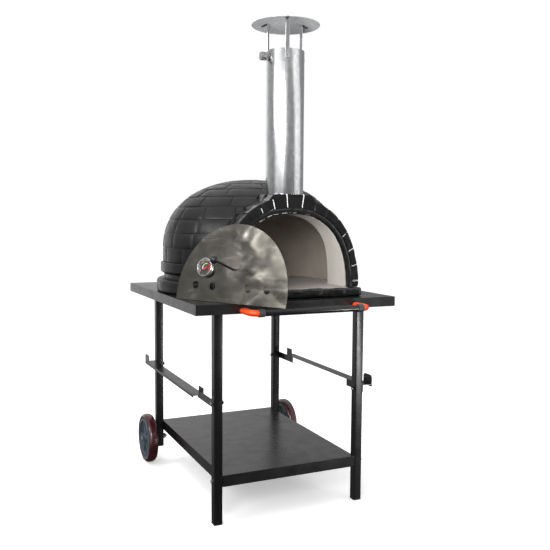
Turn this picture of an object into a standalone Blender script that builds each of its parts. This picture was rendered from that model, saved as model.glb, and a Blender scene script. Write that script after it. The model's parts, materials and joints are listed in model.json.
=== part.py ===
"""Wood fired pizza oven on a two-wheeled steel cart.

Metres, +Z up, with the mouth of the oven facing -Y and +X on its right. The origin is on the floor, under the
middle of the whole object. Depths into the object are measured back from the front edge of the table.
"""

import math

import bmesh
import bpy
from mathutils import Matrix, Vector

GAP = 0.0003  # between pieces that touch
SHEET = 0.002
PAST = 0.010  # how far a cutting shape runs past the face it cuts through

# Cart
TABLE_WIDTH, TABLE_DEPTH, TABLE_HEIGHT, SKIRT = 0.740, 0.865, 0.749, 0.034
FRONT_Y = -0.3520  # front edge of the table
LEG, LEG_WALL, LEG_CORNER = 0.030, 0.002, 0.003
LEG_OUTSIDE = 0.284  # half the width over the outer faces of the legs
FRONT_LEG_DEPTH, REAR_LEG_DEPTH = 0.082, 0.788  # to the middle of each pair
REAR_LEG_END = 0.061
FLANGE, FLANGE_THICK = 0.070, 0.003
FOOT_THICK, FOOT_PLUG = 0.004, 0.016
SHELF_TOP, SHELF_SKIRT = 0.167, 0.039
BOLT, BOLT_HOLE = 0.004, 0.0043  # radii
HEAD_RADIUS, HEAD_THICK = 0.0072, 0.0055
SHELF_BOLT_END, RAIL_BOLT_END = 0.012, 0.004  # how far each bolt shows past the last piece it holds

# Side rails
RAIL_TOP, RAIL_OUTSIDE, RAIL_PLATE = 0.424, 0.324, 0.026
RAIL_LIP = 0.010
RAIL_BOLT_HEIGHT = 0.411
RAIL_ARM, RAIL_NOSE, RAIL_END_PLATE = 0.138, 0.093, 0.116
RAIL_TAB, RAIL_SHOULDER = 0.048, 0.010  # length of the tab on the arm, and of the arm past it
RAIL_TAB_HEIGHT = {"left": 0.018, "right": 0.032}
RAIL_STOP, RAIL_STOP_HEIGHT = 0.056, 0.032  # the upturned tab at the far end
RAIL_SLANT, RAIL_CHAMFER = 0.021, 0.008

# Push bar
BAR_STANDOFF, BAR_HEIGHT, BAR_RADIUS = 0.075, 0.725, 0.011
BAR_HALF, COLLAR_RADIUS, COLLAR_LENGTH = 0.190, 0.0135, 0.020
BRACKET_RADIUS, BRACKET_REACH = 0.0125, 0.018

# Wheels
WHEEL_RADIUS, WHEEL_WIDTH, HUB_RADIUS = 0.100, 0.040, 0.080
WHEEL_CLEAR = 0.0135  # between a rear leg and its wheel
AXLE, AXLE_HOLE, AXLE_HEAD = 0.006, 0.0063, 0.011
SPOKES = 6

# Oven: a superellipsoid dome on a round base, with an arched hood in front
DOME_DEPTH, DOME_RADIUS, DOME_RISE, DOME_POWER = 0.427, 0.339, 0.262, 2.2
SPRING_HEIGHT = 0.905  # where the straight wall turns into the dome
SHELL, BLANKET, REFRACTORY = 0.008, 0.013, 0.016
ROUND, RISE_STEPS = 44, 8  # facets round the dome and up it: the same in every layer, so that the layers nest
BASE_RADIUS, BASE_TOP, BASE_FLOOR = 0.362, 0.797, 0.757
NECK_RADIUS, NECK_TOP = 0.335, 0.820
FLANGE_RADIUS, FLANGE_TOP = 0.347, 0.858
HEARTH_TOP, TILE = 0.781, 0.013
LIP_HALF, LIP_FRONT, LIP_BACK, LIP_CORNER = 0.270, 0.055, 0.232, 0.012
LIP_EDGE = 0.011  # in front of the first hearth tile
LINER_OVERRUN = 0.010  # how far the mouth's lining reaches past the lip
HOOD_FRONT, HOOD_BACK = 0.075, 0.260
# half width, height above the hearth and superellipse power of each arch
HOOD_ARCH = (0.264, 0.312, 2.2)
TRIM_ARCH = (0.238, 0.275, 2.3)
LINER_ARCH = (0.230, 0.269, 2.35)
MOUTH_ARCH = (0.216, 0.255, 2.35)
TRIM_THICK = 0.0125
KEY_FOOT, KEY_HEAD, KEY_TOP = 0.092, 0.077, 1.104

# Chimney
FLUE_DEPTH, FLUE_RADIUS, FLUE_WALL = 0.142, 0.065, 0.0012
FLUE_FOOT, FLUE_TOP, THROAT_RADIUS = 1.090, 1.588, 0.045
CAP_RADIUS, CAP_RIM, CAP_APEX = 0.117, 1.677, 1.712
ROD_CLEAR = 0.0005
STRIP_WIDTH, STRIP_FOOT, STRIP_REACH = 0.014, 1.556, 0.092
STRIP_ANGLES = (-110, 10, 130)
DAMPER_HEIGHT, DAMPER_ROD, DAMPER_PLATE = 1.566, 0.003, 0.0615
KNOB_RADIUS, KNOB_LENGTH, WASHER_RADIUS = 0.014, 0.020, 0.015
KNOB_STANDOFF = 0.008  # from the pipe to the knob

# Door, in its own frame: X along its foot, Y into the oven, Z up the panel
DOOR_WIDTH, DOOR_HEIGHT, DOOR_SIDE, DOOR_SHEET = 0.450, 0.2585, 0.035, 0.003
DOOR_CORNER, DOOR_TURN, DOOR_LEAN = (-0.3698, 0.2085), -60.7, 13.0
VENT_RADIUS, VENT_HEIGHT, VENT_OFFSETS = 0.013, 0.051, (-0.147, -0.073, 0.073, 0.147)
GRIP_HEIGHT, GRIP_RADIUS, GRIP_LENGTH, GRIP_TILT = 0.110, 0.004, 0.097, 8
GRIP_BALL = 0.0135
DIAL_OFFSET, DIAL_HEIGHT, CASE_RADIUS, CASE_DEPTH = -0.109, 0.110, 0.0315, 0.014
STEM_RADIUS, STEM_LENGTH = 0.004, 0.025
NEEDLE_WIDTH, NEEDLE_REACH = 0.0044, 0.022
NEEDLE_REST = 120  # degrees anticlockwise from straight up, at the cold end of the scale

MATERIALS = {
    "black_steel": ((0.018, 0.018, 0.020), 0.42, 0.0),
    "zinc": ((0.60, 0.61, 0.62), 0.35, 1.0),
    "black_plastic": ((0.02, 0.02, 0.02), 0.55, 0.0),
    "grey_plastic": ((0.07, 0.07, 0.075), 0.5, 0.0),
    "orange_plastic": ((0.80, 0.09, 0.02), 0.4, 0.0),
    "maroon_rubber": ((0.10, 0.012, 0.018), 0.45, 0.0),
    "hub_plastic": ((0.16, 0.19, 0.23), 0.45, 0.0),
    "black_glaze": ((0.012, 0.012, 0.013), 0.15, 0.0),
    "dome_paint": ((0.022, 0.022, 0.023), 0.45, 0.0),
    "refractory": ((0.62, 0.57, 0.50), 0.9, 0.0),
    "insulation": ((0.80, 0.78, 0.72), 0.95, 0.0),
    "galvanised": ((0.62, 0.64, 0.65), 0.3, 1.0),
    "stainless": ((0.50, 0.49, 0.46), 0.3, 1.0),
    "dial_face": ((0.03, 0.03, 0.03), 0.5, 0.0),
    "needle_red": ((0.5, 0.02, 0.02), 0.5, 0.0),
    "glass": ((0.85, 0.9, 0.9), 0.05, 0.0),
}


def clear_scene():
    for obj in list(bpy.data.objects):
        bpy.data.objects.remove(obj, do_unlink=True)


def material(name):
    found = bpy.data.materials.get(name)
    if found:
        return found
    made = bpy.data.materials.new(name)
    made.use_nodes = True
    shader = made.node_tree.nodes["Principled BSDF"]
    colour, roughness, metallic = MATERIALS[name]
    shader.inputs["Base Color"].default_value = (*colour, 1.0)
    shader.inputs["Roughness"].default_value = roughness
    shader.inputs["Metallic"].default_value = metallic
    return made


def make(name, bm, material_name, parent=None, location=(0, 0, 0)):
    """Turn a bmesh into a named object, with its faces pointing out and its round faces smooth."""
    bmesh.ops.remove_doubles(bm, verts=bm.verts, dist=1e-6)
    bmesh.ops.recalc_face_normals(bm, faces=bm.faces)
    mesh = bpy.data.meshes.new(name)
    bm.to_mesh(mesh)
    bm.free()
    mesh.shade_smooth()
    mesh.set_sharp_from_angle(angle=math.radians(30))
    mesh.materials.append(material(material_name))
    obj = bpy.data.objects.new(name, mesh)
    bpy.context.scene.collection.objects.link(obj)
    obj.location = location
    obj.parent = parent
    return obj


def tool(name, bm, parent=None):
    """A shape that only cuts or joins another."""
    obj = make(name, bm, "black_steel", parent)
    obj.hide_render = True
    obj.display_type = "WIRE"
    return obj


def combine(target, operation, *others):
    for other in others:
        boolean = target.modifiers.new(f"{operation.lower()}_{other.name}", "BOOLEAN")
        boolean.operation = operation
        boolean.object = other
        boolean.solver = "EXACT"


def add_box(bm, low, high):
    """A box between two corners."""
    size = [b - a for a, b in zip(low, high)]
    middle = [(a + b) / 2 for a, b in zip(low, high)]
    matrix = Matrix.Translation(middle) @ Matrix.Diagonal((*size, 1))
    bmesh.ops.create_cube(bm, size=1, matrix=matrix)


def box(low, high):
    bm = bmesh.new()
    add_box(bm, low, high)
    return bm


def add_prism(bm, outline, start, end, place):
    """Sweep a closed outline of (a, b) points from start to end; place(a, b, c) gives the 3D point."""
    near = [bm.verts.new(place(a, b, start)) for a, b in outline]
    far = [bm.verts.new(place(a, b, end)) for a, b in outline]
    bm.faces.new(near)
    bm.faces.new(reversed(far))
    count = len(outline)
    for i in range(count):
        j = (i + 1) % count
        bm.faces.new((near[i], far[i], far[j], near[j]))


def prism(outline, start, end, place):
    bm = bmesh.new()
    add_prism(bm, outline, start, end, place)
    return bm


def along_x(y, z, x):
    return (x, y, z)


def along_y(x, z, y):
    return (x, y, z)


def along_z(x, y, z):
    return (x, y, z)


def lathe(profile, segments=48):
    """Turn (radius, z) points about Z. A profile that starts and ends on the axis is closed by it."""
    bm = bmesh.new()
    on_axis = profile[0][0] < 1e-9 and profile[-1][0] < 1e-9
    rings = []
    for radius, z in profile:
        if radius < 1e-9:
            rings.append([bm.verts.new((0, 0, z))] * segments)
            continue
        angles = [2 * math.pi * i / segments for i in range(segments)]
        rings.append([bm.verts.new((radius * math.cos(a), radius * math.sin(a), z)) for a in angles])
    pairs = list(zip(rings, rings[1:]))
    if not on_axis:
        pairs.append((rings[-1], rings[0]))
    for lower, upper in pairs:
        for i in range(segments):
            j = (i + 1) % segments
            corners = list(dict.fromkeys((lower[i], lower[j], upper[j], upper[i])))
            if len(corners) > 2:
                bm.faces.new(corners)
    return bm


def turned(bm, matrix):
    bmesh.ops.transform(bm, matrix=matrix, verts=bm.verts)
    return bm


ABOUT_X = Matrix.Rotation(math.radians(90), 4, "Y")  # a lathe's +Z becomes +X


def rod(start, end, radius, segments=24):
    """A plain round bar between two points."""
    start, end = Vector(start), Vector(end)
    length = (end - start).length
    bm = lathe([(0, 0), (radius, 0), (radius, length), (0, length)], segments)
    turn = Vector((0, 0, 1)).rotation_difference(end - start).to_matrix().to_4x4()
    return turned(bm, Matrix.Translation(start) @ turn)


def rounded_rectangle(width, depth, corner, steps=3):
    points = []
    for quarter in range(4):
        cx = (width / 2 - corner) * (1 if quarter in (0, 3) else -1)
        cy = (depth / 2 - corner) * (1 if quarter in (0, 1) else -1)
        for i in range(steps + 1):
            angle = math.pi / 2 * (quarter + i / steps)
            points.append((cx + corner * math.cos(angle), cy + corner * math.sin(angle)))
    return points


def back(depth):
    """World Y of a point this far behind the front edge of the table."""
    return FRONT_Y + depth


def signs():
    return (("left", -1), ("right", 1))


# Cart


def tabletop():
    half = TABLE_WIDTH / 2
    foot = TABLE_HEIGHT - SKIRT
    pan = make(
        "tabletop",
        box((-half, back(0), foot), (half, back(TABLE_DEPTH), TABLE_HEIGHT)),
        "black_steel",
    )
    hollow = tool(
        "tabletop_hollow",
        box(
            (-half + SHEET, back(SHEET), foot - PAST),
            (half - SHEET, back(TABLE_DEPTH - SHEET), TABLE_HEIGHT - SHEET),
        ),
    )
    combine(pan, "DIFFERENCE", hollow)


def leg(name, side, depth, foot):
    """A square tube with a welded top flange, weld nut and bolt holes, closed at its top."""
    x, y = side * (LEG_OUTSIDE - LEG / 2), back(depth)
    top = TABLE_HEIGHT - SHEET - GAP
    outside = rounded_rectangle(LEG, LEG, LEG_CORNER)
    inside = rounded_rectangle(LEG - 2 * LEG_WALL, LEG - 2 * LEG_WALL, LEG_CORNER - LEG_WALL, 2)

    def centred(points):
        return [(x + a, y + b) for a, b in points]

    tube = make(name, prism(centred(outside), foot, top - FLANGE_THICK / 2, along_z), "black_steel")
    half = FLANGE / 2
    flange = tool(f"{name}_flange", box((x - half, y - half, top - FLANGE_THICK), (x + half, y + half, top)))
    inner_face = side * (LEG_OUTSIDE - LEG)
    nut_start = (inner_face + side * LEG_WALL / 2, y, RAIL_BOLT_HEIGHT)
    nut_end = (inner_face - side * HEAD_THICK, y, RAIL_BOLT_HEIGHT)
    nut = tool(f"{name}_nut", rod(nut_start, nut_end, HEAD_RADIUS, 6))
    combine(tube, "UNION", flange, nut)
    bore = tool(f"{name}_bore", prism(centred(inside), foot - PAST, top - 2 * FLANGE_THICK, along_z))
    combine(tube, "DIFFERENCE", bore)
    holes = [(RAIL_BOLT_HEIGHT, BOLT_HOLE), (SHELF_TOP - SHELF_SKIRT / 2, BOLT_HOLE)]
    if foot > FOOT_THICK + GAP:
        holes.append((WHEEL_RADIUS, AXLE_HOLE))
    for i, (height, radius) in enumerate(holes):
        hole = tool(f"{name}_hole_{i}", rod((x - LEG, y, height), (x + LEG, y, height), radius, 16))
        combine(tube, "DIFFERENCE", hole)


def foot(name, side):
    x, y = side * (LEG_OUTSIDE - LEG / 2), back(FRONT_LEG_DEPTH)
    half, plug = LEG / 2, LEG / 2 - LEG_WALL - GAP
    pad = make(name, box((x - half, y - half, 0), (x + half, y + half, FOOT_THICK)), "black_plastic")
    low, high = FOOT_THICK / 2, FOOT_THICK + FOOT_PLUG
    stem = tool(f"{name}_stem", box((x - plug, y - plug, low), (x + plug, y + plug, high)))
    combine(pad, "UNION", stem)


def lower_shelf():
    """A tray that fits between the legs, its front and back skirts flush with them."""
    half = LEG_OUTSIDE - LEG - GAP
    front, rear = back(FRONT_LEG_DEPTH - LEG / 2), back(REAR_LEG_DEPTH + LEG / 2)
    foot_z = SHELF_TOP - SHELF_SKIRT
    tray = make("lower_shelf", box((-half, front, foot_z), (half, rear, SHELF_TOP)), "black_steel")
    hollow = tool(
        "lower_shelf_hollow",
        box((-half + SHEET, front + SHEET, foot_z - PAST), (half - SHEET, rear - SHEET, SHELF_TOP - SHEET)),
    )
    combine(tray, "DIFFERENCE", hollow)
    bolt_z = SHELF_TOP - SHELF_SKIRT / 2
    for side_name, side in signs():
        for end_name, depth in (("front", FRONT_LEG_DEPTH), ("rear", REAR_LEG_DEPTH)):
            corner, y = f"{end_name}_{side_name}", back(depth)
            start, end = (side * (half - PAST), y, bolt_z), (side * (half + PAST), y, bolt_z)
            combine(tray, "DIFFERENCE", tool(f"shelf_hole_{corner}", rod(start, end, BOLT_HOLE, 16)))
            hex_bolt(f"shelf_bolt_{corner}", side, LEG_OUTSIDE, LEG + SHELF_BOLT_END, y, bolt_z)


def hex_bolt(name, side, face, reach, y, z, shank=BOLT, head=HEAD_RADIUS, thick=HEAD_THICK, hang=0.0):
    """A bolt along X with its head on an outer face; hang leaves room under the head."""
    seat = face + GAP + hang
    inside_head = (side * (seat + thick / 2), y, z)
    bolt = make(name, rod((side * seat, y, z), (side * (seat + thick), y, z), head, 6), "zinc")
    stem = tool(f"{name}_stem", rod(inside_head, (side * (seat - reach), y, z), shank, 16))
    combine(bolt, "UNION", stem)


def side_rail(name, side, arm_end):
    """A bent sheet ledge. arm_end is -1 when its long arm is on the front leg, 1 when on the rear leg."""
    near = FRONT_LEG_DEPTH - LEG / 2
    far = REAR_LEG_DEPTH + LEG / 2

    def place_depth(run):
        """World Y of a point this far along the rail from its arm end."""
        return back(near + run) if arm_end < 0 else back(far - run)

    length = far - near
    inner = LEG_OUTSIDE + GAP
    low = RAIL_TOP - RAIL_PLATE
    tab_top = RAIL_TOP + RAIL_TAB_HEIGHT[name]
    tab_end = RAIL_ARM + 0.015
    tab_start = tab_end - RAIL_TAB
    arm_length = tab_end + RAIL_SHOULDER
    rail_name = f"side_rail_{name}"

    def plate(outline, start, end):
        points = [(place_depth(run), z) for run, z in outline]
        return prism(points, side * start, side * end, along_x)

    arm = [
        (0, low),
        (arm_length, low),
        (arm_length, RAIL_TOP),
        (tab_end, RAIL_TOP),
        (tab_end, tab_top),
        (tab_start, tab_top),
        (tab_start, RAIL_TOP),
        (0, RAIL_TOP),
    ]
    rail = make(rail_name, plate(arm, inner, inner + SHEET), "black_steel")
    ledge_outline = [
        (inner + SHEET / 2, RAIL_ARM),
        (RAIL_OUTSIDE - RAIL_SLANT, RAIL_NOSE),
        (RAIL_OUTSIDE, RAIL_NOSE),
        (RAIL_OUTSIDE, length),
        (inner + SHEET / 2, length),
    ]
    ledge_points = [(side * x, place_depth(run)) for x, run in ledge_outline]
    ledge = tool(f"{rail_name}_ledge", prism(ledge_points, RAIL_TOP - SHEET, RAIL_TOP, along_z))
    end_plate = [
        (length - RAIL_END_PLATE, low),
        (length, low),
        (length, RAIL_TOP),
        (length - RAIL_END_PLATE, RAIL_TOP),
    ]
    lip_start = RAIL_NOSE + RAIL_CHAMFER
    lip = [
        (lip_start, RAIL_TOP - RAIL_LIP),
        (length, RAIL_TOP - RAIL_LIP),
        (length, RAIL_TOP),
        (lip_start, RAIL_TOP),
    ]
    stop_top, stop_end = RAIL_TOP + RAIL_STOP_HEIGHT, length - 0.001
    stop_start = stop_end - RAIL_STOP
    stop = [
        (stop_start, RAIL_TOP - SHEET),
        (stop_end, RAIL_TOP - SHEET),
        (stop_end, stop_top - RAIL_CHAMFER),
        (stop_end - RAIL_CHAMFER, stop_top),
        (stop_start + RAIL_CHAMFER, stop_top),
        (stop_start, stop_top - RAIL_CHAMFER),
    ]
    combine(
        rail,
        "UNION",
        ledge,
        tool(f"{rail_name}_end", plate(end_plate, inner, inner + SHEET)),
        tool(f"{rail_name}_lip", plate(lip, RAIL_OUTSIDE - SHEET, RAIL_OUTSIDE)),
        tool(f"{rail_name}_stop", plate(stop, RAIL_OUTSIDE - SHEET, RAIL_OUTSIDE)),
    )
    for end_name, depth in (("front", FRONT_LEG_DEPTH), ("rear", REAR_LEG_DEPTH)):
        y = back(depth)
        face = side * inner
        start, end = (face - side * PAST, y, RAIL_BOLT_HEIGHT), (face + side * PAST, y, RAIL_BOLT_HEIGHT)
        combine(rail, "DIFFERENCE", tool(f"{rail_name}_hole_{end_name}", rod(start, end, BOLT_HOLE, 16)))
        reach = LEG + SHEET + HEAD_THICK + RAIL_BOLT_END
        hex_bolt(f"rail_bolt_{end_name}_{name}", side, inner + SHEET, reach, y, RAIL_BOLT_HEIGHT)


def push_bar():
    y, z = back(-BAR_STANDOFF), BAR_HEIGHT
    bar = lathe(
        [
            (BAR_RADIUS - SHEET, -BAR_HALF),
            (BAR_RADIUS, -BAR_HALF),
            (BAR_RADIUS, BAR_HALF),
            (BAR_RADIUS - SHEET, BAR_HALF),
        ],
        32,
    )
    make("push_bar", turned(bar, ABOUT_X), "black_steel", location=(0, y, z))
    for name, side in signs():
        low, high = BAR_RADIUS + GAP, COLLAR_RADIUS
        ends = sorted((side * (BAR_HALF - COLLAR_LENGTH), side * BAR_HALF))
        collar = lathe([(low, ends[0]), (high, ends[0]), (high, ends[1]), (low, ends[1])], 32)
        make(f"push_bar_collar_{name}", turned(collar, ABOUT_X), "grey_plastic", location=(0, y, z))
        push_bar_bracket(name, side)


def push_bar_bracket(name, side):
    """An elbow from the end of the bar round to the front skirt."""
    bend = BRACKET_REACH
    start_x = BAR_HALF + GAP
    path = []
    for i in range(7):
        angle = math.radians(90 * i / 6)
        path.append(
            (start_x + bend * math.sin(angle), -BAR_STANDOFF + bend * (1 - math.cos(angle)), angle)
        )
    straight = BAR_STANDOFF - bend - GAP
    for share in (0.5, 1.0):
        path.append((start_x + bend, -BAR_STANDOFF + bend + straight * share, math.pi / 2))
    bm = bmesh.new()
    rings = []
    segments = 20
    for i, (x, depth, angle) in enumerate(path):
        flare = 1 + 0.2 * max(0, i - 6) / 2
        ring = []
        for k in range(segments):
            turn = 2 * math.pi * k / segments
            across, up = BRACKET_RADIUS * flare * math.cos(turn), BRACKET_RADIUS * 0.85 * math.sin(turn)
            px = x + across * math.sin(angle)
            py = depth - across * math.cos(angle)
            ring.append(bm.verts.new((side * px, back(py), BAR_HEIGHT + up)))
        rings.append(ring)
    for first, second in zip(rings, rings[1:]):
        for k in range(segments):
            m = (k + 1) % segments
            bm.faces.new((first[k], first[m], second[m], second[k]))
    bm.faces.new(rings[0])
    bm.faces.new(rings[-1])
    make(f"push_bar_bracket_{name}", bm, "orange_plastic")


def wheel(name, side):
    """A polyurethane tread on a spoked hub that turns on a bolt through the rear leg."""
    inner = LEG_OUTSIDE + WHEEL_CLEAR
    middle = side * (inner + WHEEL_WIDTH / 2)
    place = (middle, back(REAR_LEG_DEPTH), WHEEL_RADIUS)
    half, crown = WHEEL_WIDTH / 2, 0.007
    tread = [
        (HUB_RADIUS + GAP, -half + 0.002),
        (WHEEL_RADIUS - crown, -half),
        (WHEEL_RADIUS - crown * 0.3, -half + crown * 0.7),
        (WHEEL_RADIUS, -half + crown * 2),
        (WHEEL_RADIUS, half - crown * 2),
        (WHEEL_RADIUS - crown * 0.3, half - crown * 0.7),
        (WHEEL_RADIUS - crown, half),
        (HUB_RADIUS + GAP, half - 0.002),
    ]
    make(f"wheel_tread_{name}", turned(lathe(tread, 44), ABOUT_X), "maroon_rubber", location=place)

    rim, rim_wall, boss, face, web = HUB_RADIUS, 0.008, 0.018, half - 0.003, 0.004
    sleeve = WHEEL_WIDTH / 2 + WHEEL_CLEAR - 2 * GAP  # reaches the leg, as a spacer
    outer_end, inner_end = side * half, -side * sleeve
    low_end, high_end = min(outer_end, inner_end), max(outer_end, inner_end)
    profile = [
        (AXLE_HOLE, low_end),
        (boss, low_end),
        (boss, -face + 0.004),
        (rim - rim_wall, -face + 0.004),
        (rim - rim_wall, -half + 0.001),
        (rim, -half + 0.002),
        (rim, half - 0.002),
        (rim - rim_wall, half - 0.001),
        (rim - rim_wall, face - 0.004),
        (boss, face - 0.004),
        (boss, high_end),
        (AXLE_HOLE, high_end),
    ]
    hub = make(f"wheel_hub_{name}", turned(lathe(profile, 44), ABOUT_X), "hub_plastic", location=place)
    pockets = bmesh.new()
    for i in range(SPOKES):
        sector = pocket_outline(boss + 0.003, rim - rim_wall - 0.003, 0.005, i)
        for start, end in ((web / 2, half + PAST), (-half - PAST, -web / 2)):
            add_prism(pockets, sector, start, end, along_x)
    cutter = tool(f"wheel_pockets_{name}", pockets)
    cutter.location = place
    combine(hub, "DIFFERENCE", cutter)

    x = LEG_OUTSIDE + WHEEL_CLEAR + WHEEL_WIDTH
    reach = x - (LEG_OUTSIDE - LEG) + 0.016
    hex_bolt(f"axle_bolt_{name}", side, x, reach, place[1], place[2], AXLE, AXLE_HEAD, 0.007, GAP)
    start, end = side * (LEG_OUTSIDE - LEG - GAP), side * (LEG_OUTSIDE - LEG - GAP - 0.010)
    y, z = place[1], place[2]
    nut = make(f"axle_nut_{name}", rod((start, y, z), (end, y, z), AXLE_HEAD, 6), "zinc")
    bore = rod((start + side * PAST, y, z), (end - side * PAST, y, z), AXLE_HOLE, 16)
    combine(nut, "DIFFERENCE", tool(f"axle_nut_bore_{name}", bore))


def pocket_outline(low, high, half_spoke, index):
    """The gap between two spokes, as a sector with sides parallel to them."""
    turn = 2 * math.pi / SPOKES
    middle = turn * (index + 0.5)
    points = []
    for radius, order in ((high, 1), (low, -1)):
        edge = turn / 2 - math.asin(half_spoke / radius)
        steps = 2
        for i in range(steps + 1):
            angle = middle + order * edge * (2 * i / steps - 1)
            points.append((radius * math.cos(angle), radius * math.sin(angle)))
    return points


# Oven


def dome_point(inset, angle):
    """A point of the dome's outline, moved inwards by inset, at this angle above its spring line."""
    radius, rise = DOME_RADIUS - inset, DOME_RISE - inset
    share = 2 / DOME_POWER
    return (radius * max(0.0, math.cos(angle)) ** share, SPRING_HEIGHT + rise * math.sin(angle) ** share)


def dome_line(inset, foot_z, steps=RISE_STEPS):
    """From the foot of the straight wall up to the crown."""
    line = [(DOME_RADIUS - inset, foot_z)]
    for i in range(steps):
        line.append(dome_point(inset, math.pi / 2 * (i / steps) ** 0.85))
    line.append((0, SPRING_HEIGHT + DOME_RISE - inset))
    return line


def at_dome(bm):
    return turned(bm, Matrix.Translation((0, back(DOME_DEPTH), 0)))


def dome_shell(name, outer, inner, material_name):
    bm = lathe(list(reversed(inner)) + outer, ROUND)
    return make(name, at_dome(bm), material_name)


def arch(shape, grow=0.0, foot_z=HEARTH_TOP, steps=24):
    """The outline of an arch as (x, z), from its right foot over to its left foot."""
    half, height, power = shape
    half, height = half + grow, height + grow
    points = []
    for i in range(steps + 1):
        angle = math.pi * i / steps
        across, up = math.cos(angle), max(0.0, math.sin(angle))
        x = half * math.copysign(abs(across) ** (2 / power), across)
        points.append((x, HEARTH_TOP + height * up ** (2 / power)))
    if foot_z < HEARTH_TOP:
        points = [(half, foot_z)] + points + [(-half, foot_z)]
    return points


def hood_outline(grow=0.0, foot_z=HEARTH_TOP):
    """The hood's arch with its flat-topped keystone."""
    half, height, power = HOOD_ARCH
    foot_half, head_half = KEY_FOOT + grow, KEY_HEAD + grow
    seat = HEARTH_TOP + (height + grow) * (1 - (foot_half / (half + grow)) ** power) ** (1 / power)
    sides = [p for p in arch(HOOD_ARCH, grow, foot_z) if abs(p[0]) > foot_half + 0.004]
    right = [p for p in sides if p[0] > 0]
    left = [p for p in sides if p[0] < 0]
    top = KEY_TOP + grow
    key = [(foot_half, seat), (head_half, top), (-head_half, top), (-foot_half, seat)]
    return right + key + left


def oven_base():
    """The round cast base: a floor with a rim, cut away in front for the hearth lip."""
    low, corner = TABLE_HEIGHT + GAP, 0.008
    recess = inner_radius() - 0.002
    profile = [
        (0, low),
        (BASE_RADIUS - corner, low),
        (BASE_RADIUS - corner * 0.3, low + corner * 0.4),
        (BASE_RADIUS, low + corner * 1.4),
        (BASE_RADIUS, BASE_TOP - corner * 1.4),
        (BASE_RADIUS - corner * 0.3, BASE_TOP - corner * 0.4),
        (BASE_RADIUS - corner, BASE_TOP),
        (recess, BASE_TOP),
        (recess, BASE_FLOOR),
        (0, BASE_FLOOR),
    ]
    base = make("oven_base", at_dome(lathe(profile, ROUND)), "dome_paint")
    room = box((-LIP_HALF - GAP, back(0), 0.7), (LIP_HALF + GAP, back(LIP_BACK) + GAP, 0.85))
    combine(base, "DIFFERENCE", tool("lip_room", room))


def inner_radius():
    return DOME_RADIUS - SHELL - BLANKET - REFRACTORY


def hearth():
    """The black lip slab, the insulation board and the pale floor tiles."""
    low, tile_half = TABLE_HEIGHT + GAP, MOUTH_ARCH[0]
    centre = (LIP_FRONT + LIP_BACK) / 2
    outline = []
    for x, y in rounded_rectangle(2 * LIP_HALF, LIP_BACK - LIP_FRONT, LIP_CORNER):
        outline.append((x, back(centre + y)))
    slab = make("hearth_lip", prism(outline, low, HEARTH_TOP, along_z), "black_glaze")
    bevel = slab.modifiers.new("rounded_edges", "BEVEL")
    bevel.width, bevel.segments, bevel.limit_method = 0.005, 2, "ANGLE"
    bevel.angle_limit = math.radians(60)
    tile_front = back(LIP_FRONT + LIP_EDGE)
    pocket = box((-tile_half - GAP, tile_front, BASE_FLOOR), (tile_half + GAP, back(0.3), 0.9))
    combine(slab, "DIFFERENCE", tool("front_tile_room", pocket))

    near = (-tile_half, tile_front + GAP, BASE_FLOOR + GAP)
    far = (tile_half, back(LIP_BACK) - GAP, HEARTH_TOP)
    make("hearth_tile_front", box(near, far), "refractory")

    radius = inner_radius() - 0.002 - GAP
    split = HEARTH_TOP - TILE
    front_room = tool("disc_front", box((-0.5, back(-0.5), 0.7), (0.5, back(LIP_BACK) + GAP, 0.9)))
    low, high = BASE_FLOOR + GAP, split - GAP
    disc = lathe([(0, low), (radius, low), (radius, high), (0, high)], ROUND)
    board = make("floor_insulation", at_dome(disc), "insulation")
    combine(board, "DIFFERENCE", front_room)
    for name, side in signs():
        disc = lathe([(0, split), (radius, split), (radius, HEARTH_TOP), (0, HEARTH_TOP)], ROUND)
        tile = make(f"hearth_tile_{name}", at_dome(disc), "refractory")
        other = sorted((-side * 0.5, side * GAP))
        half = box((other[0], back(-0.5), 0.7), (other[1], back(1.5), 0.9))
        combine(tile, "DIFFERENCE", front_room, tool(f"tile_split_{name}", half))


def domes():
    """Refractory dome, blanket and painted outer shell, open in front for the arch and above for the flue."""
    foot_z = BASE_TOP + GAP
    hood_room = tool("hood_room", prism(hood_outline(GAP, 0.7), back(-0.05), back(0.300), along_y))
    flue_room = tool("flue_room", flue_cylinder(FLUE_RADIUS + 0.0006, FLUE_FOOT - 0.002, 1.3))
    throat = tool("throat_room", flue_cylinder(THROAT_RADIUS, 0.99, FLUE_FOOT + 0.002))
    liner_room = tool("liner_room", prism(arch(LINER_ARCH, GAP, 0.7), back(-0.05), back(0.300), along_y))

    outer_line = [
        (NECK_RADIUS, foot_z),
        (NECK_RADIUS, NECK_TOP - 0.003),
        (FLANGE_RADIUS - 0.003, NECK_TOP),
        (FLANGE_RADIUS, NECK_TOP + 0.006),
        (FLANGE_RADIUS, FLANGE_TOP - 0.008),
        (FLANGE_RADIUS - 0.003, FLANGE_TOP - 0.001),
    ]
    outer_line += dome_line(0, FLANGE_TOP, 2 * RISE_STEPS)
    shell = dome_shell("outer_dome", outer_line, dome_line(SHELL, foot_z), "dome_paint")
    combine(shell, "DIFFERENCE", hood_room, flue_room)

    blanket_out, blanket_in = SHELL + GAP, SHELL + BLANKET - GAP
    blanket = dome_shell(
        "insulation_blanket", dome_line(blanket_out, foot_z), dome_line(blanket_in, foot_z), "insulation"
    )
    combine(blanket, "DIFFERENCE", hood_room, flue_room)

    refractory_out = SHELL + BLANKET
    refractory = dome_shell(
        "inner_dome",
        dome_line(refractory_out, foot_z),
        dome_line(refractory_out + REFRACTORY, foot_z),
        "refractory",
    )
    combine(refractory, "DIFFERENCE", liner_room, throat)
    front_arch(liner_room, throat)


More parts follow.
